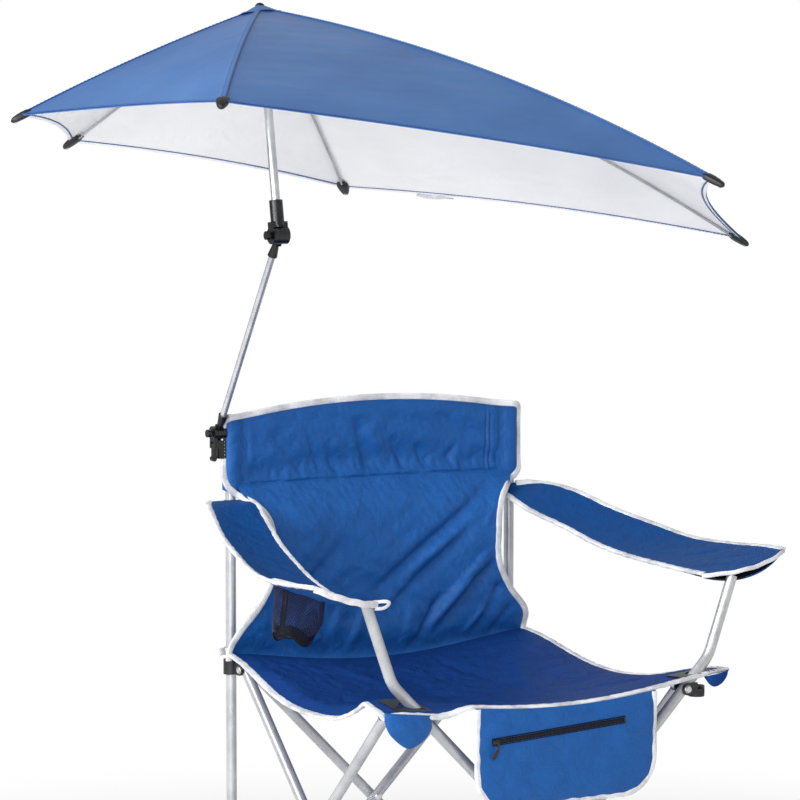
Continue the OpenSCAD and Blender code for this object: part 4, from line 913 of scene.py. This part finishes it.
pouchBag = {"half": 156, "high": 142, "cornerR": 55, "backY": -287.4, "depth": 9.0, "cols": 120, "rows": 80,
            "frontThick": 1.2, "rearThick": 1.0, "middleZ": 440.0, "tape": (4.8, 2.6), "tapeIn": 3.0,
            "folds": [(-120, 430, -60, 375, 12, 1.6), (0, 440, 90, 400, 14, -1.6),
                      (60, 480, 130, 440, 12, 1.5), (-90, 480, -110, 400, 10, -1.6),
                      (20, 400, 60, 370, 9, 1.4), (-140, 440, -146, 390, 8, 2.0)]}


def pouchSpan(u):
    # Heights of the pouch's lower and upper edge; the upper one follows the seat's front edge
    low = seatEndHeight(np.zeros(1))[0] - pouchBag["high"]
    return low, seatEndHeight(u * pouchBag["half"] / seatCloth["frontHalf"]) - 2


def pouchFrame(u, v):
    # From the top, v = 0, to the bottom, v = 1; the width narrows by a quarter circle at the lower corners
    c = pouchBag
    low, high = pouchSpan(u)
    z = high + (low - high) * v
    rise = np.clip((low + c["cornerR"] - z) / c["cornerR"], 0, 1)
    half = c["half"] - c["cornerR"] * (1 - np.sqrt(1 - rise ** 2 * 0.998))
    return u * half, z


def pouchFront(u, v):
    c = pouchBag
    x, z = pouchFrame(u, v)
    full = (1 - np.abs(u) ** 6) * smoothStep(v * 7) ** 0.5 * smoothStep((1 - v) * 5) ** 0.5
    lift = foldHeight(x, z, c["folds"]) * 1.7 + 1.8 * ripples(x, z, 120, 22, 12)
    swell = (c["depth"] - 2.2 + lift * 0.6) * full
    # The zip's tape is stiff: beside it the cloth lies flat, so that the slider runs straight along it
    held = np.exp(-(zipDistance(x, z) / zipRun["stiff"]) ** 2) * smoothStep((1 - np.abs(u)) * 8)
    return np.stack([x, c["backY"] - 1.6 - swell - held * (zipRun["stand"] - swell), z], -1)


def makePouch():
    c = pouchBag
    u, v = np.meshgrid(np.linspace(-1, 1, c["cols"]), np.linspace(0, 1, c["rows"]))
    front = pouchFront(u, v)
    x, z = pouchFrame(u, v)
    parts = [shellPart(front, c["frontThick"], 0, turn=-1),
             shellPart(join(x, c["backY"], z), c["rearThick"], 0, turn=-1)]
    outline = np.concatenate([front[:, 0], front[-1, 1:-1], front[::-1, -1]])
    outline[:, 1] = c["backY"] - 1.2
    outline = evenly(outline, 3.0)
    at = np.arange(len(outline))
    outline = outline + np.outer(0.2 * np.sin(at * 0.7) + 0.15 * np.sin(at * 0.31), (0, 1, 0))
    middle = np.array([0, c["backY"], c["middleZ"]])
    path = outline + unit((middle - outline) * (1, 0, 1)) * c["tapeIn"]
    parts += [sweptPart(path, (0, -1, 0), *c["tape"], 1, 14, corner=0.55),
              stitchPart(path + (0, -2.5, 0), (0, -1, 0), 2)]
    piece = buildPiece("pouchBag", parts, [blueOxford, greyBinding, seamThread], "right_corner")
    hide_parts("pouch")
    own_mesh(piece)


zipRun = {"length": 230, "width": 11, "mid": (-18, 468.5), "tilt": 3.2, "teeth": 92,
          "stand": 5.6, "stiff": 15, "toothHalf": 2.1, "toothLean": 0.4, "toothR": 0.62, "stitchOut": 3.7}
zipTilt = math.radians(zipRun["tilt"])


def zipDistance(x, z):
    # How far a place on the pouch lies above the zip's line
    return (z - zipRun["mid"][1]) * math.cos(zipTilt) - (x - zipRun["mid"][0]) * math.sin(zipTilt)


def onZip(along, over, proud):
    # Places along the zip from its middle, over it upward, and proud of the pouch's front, all in millimetres
    x = zipRun["mid"][0] + along * math.cos(zipTilt) - over * math.sin(zipTilt)
    z = zipRun["mid"][1] + along * math.sin(zipTilt) + over * math.cos(zipTilt)
    u = np.clip(x / pouchBag["half"], -1, 1)
    low, high = pouchSpan(u)
    p = pouchFront(u, (high - z) / (high - low))
    return np.stack([x, p[..., 1] - proud, z], -1)


def makeZipTape():
    # Woven tape with a coil of teeth along its middle, a row of stitches on each side and a stop at each end
    c = zipRun
    half = c["length"] / 2
    along, over = np.meshgrid(np.linspace(-half, half, 90), np.linspace(-1, 1, 9) * c["width"] / 2)
    parts = [shellPart(onZip(along, over, 1.1), 0.8, 0, turn=1)]
    at = np.linspace(-half + 5, half - 5, c["teeth"])[:, None]
    over = np.linspace(-c["toothHalf"], c["toothHalf"], 5)[None]
    teeth = onZip(at + c["toothLean"] * over / c["toothHalf"], over, 2.0)
    parts.append(strandsPart(teeth, (0, -1, 0), c["toothR"], 1, 5))
    for side in (-1, 1):
        seam = onZip(np.linspace(-half, half, 120), side * c["stitchOut"], 1.7)
        parts.append(stitchPart(seam, (0, -1, 0), 2, radius=0.3))
    for end in (-1, 1):
        stop = onZip(end * (half - 1.5), np.linspace(-4, 4, 7), 2.0)
        parts.append(sweptPart(stop, (0, -1, 0), 1.6, 0.8, 1, 10))
    piece = buildPiece("zipTape", parts, [zipWeave, zipNylon, blueThread], "right_corner")
    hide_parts("zip_tape")
    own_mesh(piece)


def makeZipSlider():
    # Slider body on the teeth, a bridge over it and the puller that hangs from the bridge
    start = -zipRun["length"] / 2 + 6
    path = onZip(start + np.linspace(-6, 5, 9), 0, 3.4)
    parts = [sweptPart(path, (0, -1, 0), [2.6, 3.6, 4.2, 4.4, 4.4, 4.2, 3.8, 3.0, 2.0],
                       [1.0, 1.6, 1.9, 2.0, 2.0, 1.9, 1.7, 1.4, 0.8], 0, 14)]
    at = onZip(start, 0, 0)
    bridge = rounded(at + np.array([(-3.4, -5.0, 0), (-2.4, -8.0, 0), (2.4, -8.0, 0), (3.4, -5.0, 0)]), 2)
    parts.append(sweptPart(bridge, (0, 0, 1), 1.0, 1.2, 0, 8))
    pull = rounded(at + np.array([(-0.5, -7.2, 1), (1, -7.4, -8), (-4, -6.6, -17), (-9, -5.8, -24)]), 3)
    pull = evenly(pull, 1.6)
    wide = np.interp(np.linspace(0, 1, len(pull)), [0, 0.12, 0.3, 0.75, 0.95, 1],
                     [1.6, 2.6, 2.0, 3.6, 3.4, 1.4])
    parts.append(sweptPart(pull, (0.2, -1, 0.1), wide, 1.0, 0, 12))
    slider = buildPiece("zipSlider", parts, [zipNylon], "zip")
    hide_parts("zip_slider")
    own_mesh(slider)


cornerPocket = {
    "frontY": -279.0, "swell": 7.0, "thick": 1.5, "foldTo": 245,
    "right": [(-36, 2), (-41, -14), (-29, -31), (-8, -45), (3, -47), (18, -38), (34, -24), (38, -8), (36, 4)],
    "left": [(-8, 0), (-4, -9), (3, -17), (12, -19), (23, -15), (31, -7), (34, 2)],
}


def makePocket(name, node, body, side, outline, centreX, cloth):
    # A half bowl of cloth below the seat's corner: the outline swells forward toward its middle
    c = cornerPocket
    outline = evenly(rounded([(side * x, 0, z) for x, z in outline], 3), 2.0)
    grow = np.linspace(0.0, 1, 26)[:, None]
    top = np.linspace(outline[0], outline[-1], len(outline))
    flat = top[None] + (outline - top)[None] * grow[..., None]
    across = np.linspace(-1, 1, len(outline))[None]
    swell = (1 - across ** 2) * np.sin(math.pi * (0.25 + 0.75 * grow))
    x = centreX + flat[..., 0]
    s = np.clip(x / seatCloth["frontHalf"], -1, 1)
    z = seatEndHeight(s) - 3.0 - 0.8 * cornerHang(s, 1.0) + flat[..., 2]
    y = c["frontY"] - c["swell"] * swell + 0.9 * ripples(x, z, 50, 14, 33) + 5.0 * np.abs(across) ** 4 * grow
    mid = np.stack([x, y, z], -1)
    piece = buildPiece(name, [shellPart(mid, c["thick"], 0, turn=-side)], [cloth], body)
    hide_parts(node)
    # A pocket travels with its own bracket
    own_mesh(piece)


makePouch()
makeZipTape()
makeZipSlider()
makePocket("pocketRight", "corner_pocket_right", "right_corner", -1, cornerPocket["right"], -262, blueOxford)
makePocket("pocketLeft", "corner_pocket_left", "left_corner", 1, cornerPocket["left"], 262, navyOxford)
print("pouch, zip and corner pockets made")

# Canopy

canopy = {
    "apex": (-276.0, 118.352, 1501.78), "lean": 9.3, "turn": -39.3,
    "angles": (-31.7, 31.7, 87, 156, 204, 273), "lengths": (868, 868, 558, 404, 404, 558),
    "slope": 17.7, "bowR": 3200, "clothIn": 20, "edgeDraw": 0.05, "lift": 5.1, "thick": 1.1,
    "rows": 110, "cols": 72, "tipFree": 6, "seamTape": (4.2, 0.7), "hemTape": (3.9, 0.6), "hemIn": 3.8,
    "names": ("front_right", "front_left", "side_left", "rear_left", "rear_right", "side_right"),
    "gores": ("canopy_front", "canopy_left", "canopy_rear_left", "canopy_rear", "canopy_rear_right",
              "canopy_right"),
    "pieces": ("goreFront", "goreLeft", "goreRearLeft", "goreRear", "goreRearRight", "goreRight"),
}
lean = math.radians(canopy["lean"])
mastAxis = np.array([0, math.sin(lean), math.cos(lean)])
mastSide = np.array([0, math.cos(lean), -math.sin(lean)])
crownAcross = np.array([1.0, 0, 0])
ribSlope = math.radians(canopy["slope"])
# Distance along a rib at which the cloth begins
clothStart = (math.asin(canopy["clothIn"] / canopy["bowR"] + math.sin(ribSlope)) - ribSlope) * canopy["bowR"]


def bowRadius(s):
    # Distance from the mast of a point s along a rib that is an arc of a large circle
    return canopy["bowR"] * (np.sin(ribSlope + s / canopy["bowR"]) - math.sin(ribSlope))


def bowDrop(s):
    return canopy["bowR"] * (math.cos(ribSlope) - np.cos(ribSlope + s / canopy["bowR"]))


def outFromMast(i):
    turn = math.radians(canopy["turn"] + canopy["angles"][i % 6])
    return math.cos(turn) * crownAcross + math.sin(turn) * mastSide


def ribPoint(i, s):
    s = np.asarray(s, float)
    out = bowRadius(s)[..., None] * outFromMast(i)
    return np.array(canopy["apex"]) + out - bowDrop(s)[..., None] * mastAxis


def goreSurface(i, u, v):
    # Straight from one rib to the next, drawn in a little at its free edge, with shallow tension creases
    c = canopy
    f = v * (1 - c["edgeDraw"] * 4 * u * (1 - u) * v)
    a, b = [ribPoint(k, clothStart + (c["lengths"][k % 6] - c["tipFree"] - clothStart) * f)
            for k in (i, i + 1)]
    p = a + (b - a) * u[..., None]
    span = np.linalg.norm(b - a, axis=-1)
    quiet = awayFromEnds(u, 9) * awayFromEnds(v, 12)
    belly = 4 * u * (1 - u) * v * np.minimum(span * 0.012, 5.0)
    x, y = u * span, v * c["lengths"][i]
    crease = 0.9 * ripples(x, y * 1.6, 260, 40, 50 + i)
    crease = crease + 0.7 * np.sin(y / 7.5 + 2.2 * np.sin(x / 60)) * np.exp(-u * 9)
    seam = 0.8 * (np.exp(-(u * span / 9) ** 2) + np.exp(-((1 - u) * span / 9) ** 2))
    return p + mastAxis * (c["lift"] - belly + crease * quiet * 0.8 + seam)[..., None]


def makeGore(i):
    c = canopy
    u, v = np.meshgrid(0.0006 + 0.9988 * np.linspace(0, 1, c["cols"]), np.linspace(0, 1, c["rows"]))
    mid = goreSurface(i, u, v)
    inward = unit(mid[-3] - mid[-1])
    hem = mid[-1] + inward * c["hemIn"]
    parts = [shellPart(mid, c["thick"], 0, inside=1, turn=-1),
             sweptPart(hem + mastAxis * 0.7, mastAxis, *c["hemTape"], 2, 12, corner=0.5)]
    parts += [stitchPart(hem + inward * 2.6 + up * 1.1, up, 3, pitch=6) for up in (mastAxis, -mastAxis)]
    seam = goreSurface(i, np.full((1, 120), 0.0006), np.linspace(0, 0.995, 120)[None])[0]
    side = np.cross(mastAxis, outFromMast(i))
    parts.append(sweptPart(seam + mastAxis * 0.7 - side * 0.2, mastAxis, *c["seamTape"], 0, 10, corner=0.6))
    parts += [stitchPart(seam + mastAxis * 1.35 + side * shift, mastAxis, 3, pitch=6)
              for shift in (2.6, -2.6)]
    if i == 1:
        parts += edgeStrap()
    finishes = [canopyOutside, canopyInside, hemTaffeta, canopyThread, greyBinding, rivetZinc]
    piece = buildPiece(c["pieces"][i], parts, finishes, "rib_body_" + c["names"][i])
    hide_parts(c["gores"][i])
    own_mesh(piece)


closingStrap = {"at": 0.80, "length": 42, "ring": 6.5}


def edgeStrap():
    # The strap that ties the furled canopy: it lies along the free edge and ends in a ring
    c = closingStrap
    u = np.linspace(c["at"], c["at"] - c["length"] / 560, 14)[None]
    line = goreSurface(1, u, np.full(u.shape, 0.997))[0]
    sag = np.sin(np.linspace(0, 1, 14) * math.pi * 0.9)
    line = line + mastAxis * (-1.8 - 3.0 * sag[:, None])
    along = unit(line[-1] - line[0])
    ring = fullTurn(41)[:-1]
    centre = line[-1] + along * (c["ring"] + 1) - mastAxis * 1.0
    out = unit(np.cross(along, mastAxis))
    path = centre + c["ring"] * (np.cos(ring)[:, None] * along * 1.2 + np.sin(ring)[:, None] * out)
    return [sweptPart(line, out, 3.2, 0.7, 4, 10, corner=0.6),
            sweptPart(path, mastAxis, 1.1, 1.1, 5, 8, corner=1.0, closed=True)]


hemTaffeta = coatedTaffeta("hem taffeta", "#33538C", "#46699F", 0.55, 0.1)
canopyThread = powderCoat("canopy thread", "#365A99", "#4A6FAE", metallic=0.0, roughness=0.7)
for i in range(6):
    makeGore(i)

tipCap = {"back": 26, "ahead": 7, "lift": 2.2}


def makeTipCap(i):
    # Moulded pocket on a rib's tip: flat and broad at its mouth, with a rounded nose and a ridge on top
    c = tipCap
    length = canopy["lengths"][i]
    tip = ribPoint(i, length)
    along = unit(tip - ribPoint(i, length - 30))
    at = np.array([-c["back"], -c["back"] + 1.5, -20, -12, -4, 2, 5, c["ahead"]], float)
    path = tip + at[:, None] * along + mastAxis * c["lift"]
    side = np.cross(mastAxis, outFromMast(i))
    up = unit(np.cross(along, side))
    up = up if up @ mastAxis > 0 else -up
    body = sweptPart(path, up, [7.5, 9.0, 9.6, 8.8, 7.2, 5.4, 3.6, 1.2],
                     [3.6, 4.6, 5.2, 5.2, 4.8, 4.2, 3.2, 1.2], 0, 20, corner=0.7)
    ridge = sweptPart(path[1:-1] + up * np.array([4.2, 4.8, 4.8, 4.4, 3.6, 2.6])[:, None], up, 1.6,
                      [0.6, 1.2, 1.4, 1.2, 1.0, 0.5], 0, 10)
    flap = sweptPart(path[:4] - along * 6 - up * 2.2, up, [6.0, 7.4, 7.2, 5.0], [0.9, 1.1, 1.1, 0.9], 0, 14,
                     corner=0.6)
    buildPiece("tipCap" + canopy["pieces"][i][4:], [body, ridge, flap], [bracketNylon],
               "rib_body_" + canopy["names"][i])


for i in range(6):
    makeTipCap(i)

topCap = {"radii": (4.5, 9, 15, 22, 30), "heights": (9.4, 7.2, 4.2, 0.6, -3.0)}


def makeTopCap():
    # Cloth cone over the crown with a moulded button on it
    c = topCap
    grow = np.linspace(0, 1, 24)
    r, h = [np.interp(grow, np.linspace(0, 1, 5), c[key])[:, None] for key in ("radii", "heights")]
    turn = fullTurn(73)[None]
    pucker = 0.5 * np.sin(turn * 6) * grow[:, None]
    mid = (np.array(canopy["apex"]) + (r * np.cos(turn))[..., None] * crownAcross
           + (r * np.sin(turn))[..., None] * mastSide + (h + pucker)[..., None] * mastAxis)
    stem = np.array(canopy["apex"]) + np.outer([6.5, 8, 9.6, 11.6, 13.2, 14.0], mastAxis)
    wide = [6.5, 7.2, 7.0, 5.8, 3.6, 0.8]
    parts = [shellPart(mid, 1.1, 0, inside=1, turn=-1),
             sweptPart(mid[-1, :-1], mastAxis, 2.4, 0.9, 2, 10, closed=True),
             sweptPart(stem, crownAcross, wide, wide, 3, 28, corner=1.0)]
    buildPiece("topCap", parts, [canopyOutside, canopyInside, hemTaffeta, bracketNylon], "mast_head")


makeTopCap()
print("canopy made")

# Rivets, buttons and small hardware

rivet = {"r": 6.4, "high": 3.0, "inset": 30, "layer": 8.75, "earOut": 11.6, "lowZ": 55, "highZ": 505,
         "crossOut": 16.8, "crossZ": 280.0, "lap": 0.6}


def rivetHeads(middle, axis, out):
    # A rivet's two heads, this far out from the middle along a level axis: shallow domes on short skirts
    c = rivet
    at = np.array([-c["lap"], 0, 0.35, 0.62, 0.84, 0.97, 1.0])[:, None] * c["high"]
    size = np.array([1.0, 1.0, 0.96, 0.84, 0.62, 0.3, 0.03]) * c["r"]
    return [sweptPart(middle + axis * way * out + at * axis * way, (0, 0, 1), size, size, 0, 24, corner=1.0)
            for way in (-1, 1)]


# Each corner: left (1) or right (-1), rear (1) or front (-1), and its body
corners = {
    "FootRearRight": (-1, 1, "chair_base"), "FootRearLeft": (1, 1, "left_post"),
    "FootFrontRight": (-1, -1, "front_right_foot"), "FootFrontLeft": (1, -1, "front_left_foot"),
    "SlideRight": (-1, 1, "right_slide"), "SlideLeft": (1, 1, "left_slide"),
    "CornerRight": (-1, -1, "right_corner"), "CornerLeft": (1, -1, "left_corner"),
}
scissors = {"Right": (-1, 0, "right_rising"), "Left": (1, 0, "left_rising"),
            "Rear": (0, 1, "rear_rising"), "Front": (0, -1, "front_rising")}


def makeRivets():
    c = rivet
    for name, (left, rear, body) in corners.items():
        height, layer = (c["lowZ"], -1) if name.startswith("Foot") else (c["highZ"], 1)
        parts = []
        for turn in (math.radians(-90 * rear), math.radians(90 + 90 * left)):
            outward = np.array([math.cos(turn), math.sin(turn), 0])
            side = np.array([-math.sin(turn), math.cos(turn), 0])
            middle = np.array([left * postOut, rear * postOut, height]) + outward * c["inset"]
            parts += rivetHeads(middle + side * layer * c["layer"], side, c["earOut"])
        buildPiece("rivets" + name, parts, [rivetZinc], body)
    for name, (left, rear, body) in scissors.items():
        middle = np.array([left * postOut, rear * postOut, c["crossZ"]])
        parts = rivetHeads(middle, np.array([abs(left), abs(rear), 0]), c["crossOut"])
        buildPiece("rivetsScissor" + name, parts, [rivetZinc], body)


makeRivets()
print("rivets made")

# Finishes of the frame's own parts

nodeFinish = [
    (frameCoat, ["post_", "side_bar", "rear_bar", "front_bar"]),
    (bracketNylon, ["foot_", "slide_", "corner_hub"]),
    (brightTube, ["arm_tube", "mast"]),
    (ribCoat, ["rib_", "stretcher_"]),
    (jointAbs, ["clamp_", "lower_", "upper_", "mast_socket", "crown", "runner"]),
]
for finish, starts in nodeFinish:
    for name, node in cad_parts.items():
        if any(name.startswith(start) for start in starts):
            node.data.materials.clear()
            node.data.materials.append(finish)
print("frame parts finished")

# Stage and light

stage = {"floor": "#F2F2F2", "size": 14.0, "whiteFrom": 0.7, "whiteAt": 2.2}


def makeStage():
    # A pale floor that fades to plain white away from the object where the camera sees it
    material, tree, shader = startFinish("studio paper", 0.85)
    shader.inputs["Base Color"].default_value = linear(stage["floor"])
    path = addNode(tree, "ShaderNodeLightPath")
    seen = addNode(tree, "ShaderNodeMath", {}, {0: (path, "Is Camera Ray"), 1: (path, "Is Glossy Ray")},
                   operation="MAXIMUM")
    also = addNode(tree, "ShaderNodeMath", {}, {0: (seen, 0), 1: (path, "Is Transmission Ray")},
                   operation="MAXIMUM")
    where = addNode(tree, "ShaderNodeTexCoord")
    away = addNode(tree, "ShaderNodeVectorMath", {}, {0: (where, "Object")}, operation="LENGTH")
    fade = addNode(tree, "ShaderNodeMapRange", {"From Min": stage["whiteFrom"], "From Max": stage["whiteAt"]},
                   {"Value": (away, "Value")}, interpolation_type="SMOOTHSTEP")
    share = addNode(tree, "ShaderNodeMath", {}, {0: (fade, 0), 1: (also, 0)}, operation="MULTIPLY")
    white = addNode(tree, "ShaderNodeEmission", {"Color": (1, 1, 1, 1), "Strength": 1.0})
    mix = addNode(tree, "ShaderNodeMixShader", {},
                  {0: (share, 0), 1: (shader, "BSDF"), 2: (white, "Emission")})
    tree.links.new(mix.outputs[0], tree.nodes["Material Output"].inputs["Surface"])
    half = stage["size"] / 2
    mesh = bpy.data.meshes.new("floor")
    corners = [(-half, -half, 0), (half, -half, 0), (half, half, 0), (-half, half, 0)]
    mesh.from_pydata(corners, [], [(0, 1, 2, 3)])
    mesh.materials.append(material)
    floor = bpy.data.objects.new("floor", mesh)
    bpy.context.collection.objects.link(floor)


makeStage()

lamps = {
    "key": {"at": (-3.6, -0.4, 2.5), "size": 2.4, "watts": 153, "aim": (0.0, 0.0, 0.9)},
    "front": {"at": (-3.3, -3.0, 1.3), "size": 2.0, "watts": 79, "aim": (0.0, 0.0, 0.8)},
    "fill": {"at": (2.8, -3.0, 2.0), "size": 3.0, "watts": 18, "aim": (0.0, 0.0, 0.7)},
    "bounce": {"at": (-0.8, -3.0, 0.4), "size": 1.6, "watts": 10, "aim": (0.0, 0.2, 1.4)},
    "behind": {"at": (2.4, 3.2, 2.6), "size": 3.0, "watts": 16, "aim": (0.0, 0.0, 0.8)},
}
worldLight = {"strength": 0.38, "seen": 1.0}


def makeLight():
    for name, c in lamps.items():
        data = bpy.data.lights.new(name, "AREA")
        data.size = c["size"]
        data.energy = c["watts"]
        lamp = bpy.data.objects.new(name, data)
        lamp.location = c["at"]
        lamp.rotation_euler = (Vector(c["aim"]) - Vector(c["at"])).to_track_quat("-Z", "Y").to_euler()
        bpy.context.collection.objects.link(lamp)
    world = bpy.data.worlds.new("studio")
    bpy.context.scene.world = world
    world.use_nodes = True
    tree = world.node_tree
    path = addNode(tree, "ShaderNodeLightPath")
    seen = addNode(tree, "ShaderNodeMath", {}, {0: (path, "Is Camera Ray"), 1: (path, "Is Transmission Ray")},
                   operation="MAXIMUM")
    strength = addNode(tree, "ShaderNodeMapRange",
                       {"To Min": worldLight["strength"], "To Max": worldLight["seen"]}, {"Value": (seen, 0)})
    back = tree.nodes["Background"]
    back.inputs["Color"].default_value = (1, 1, 1, 1)
    tree.links.new(strength.outputs[0], back.inputs["Strength"])


makeLight()
bpy.context.scene.view_settings.view_transform = "Standard"
print("stage and light set")
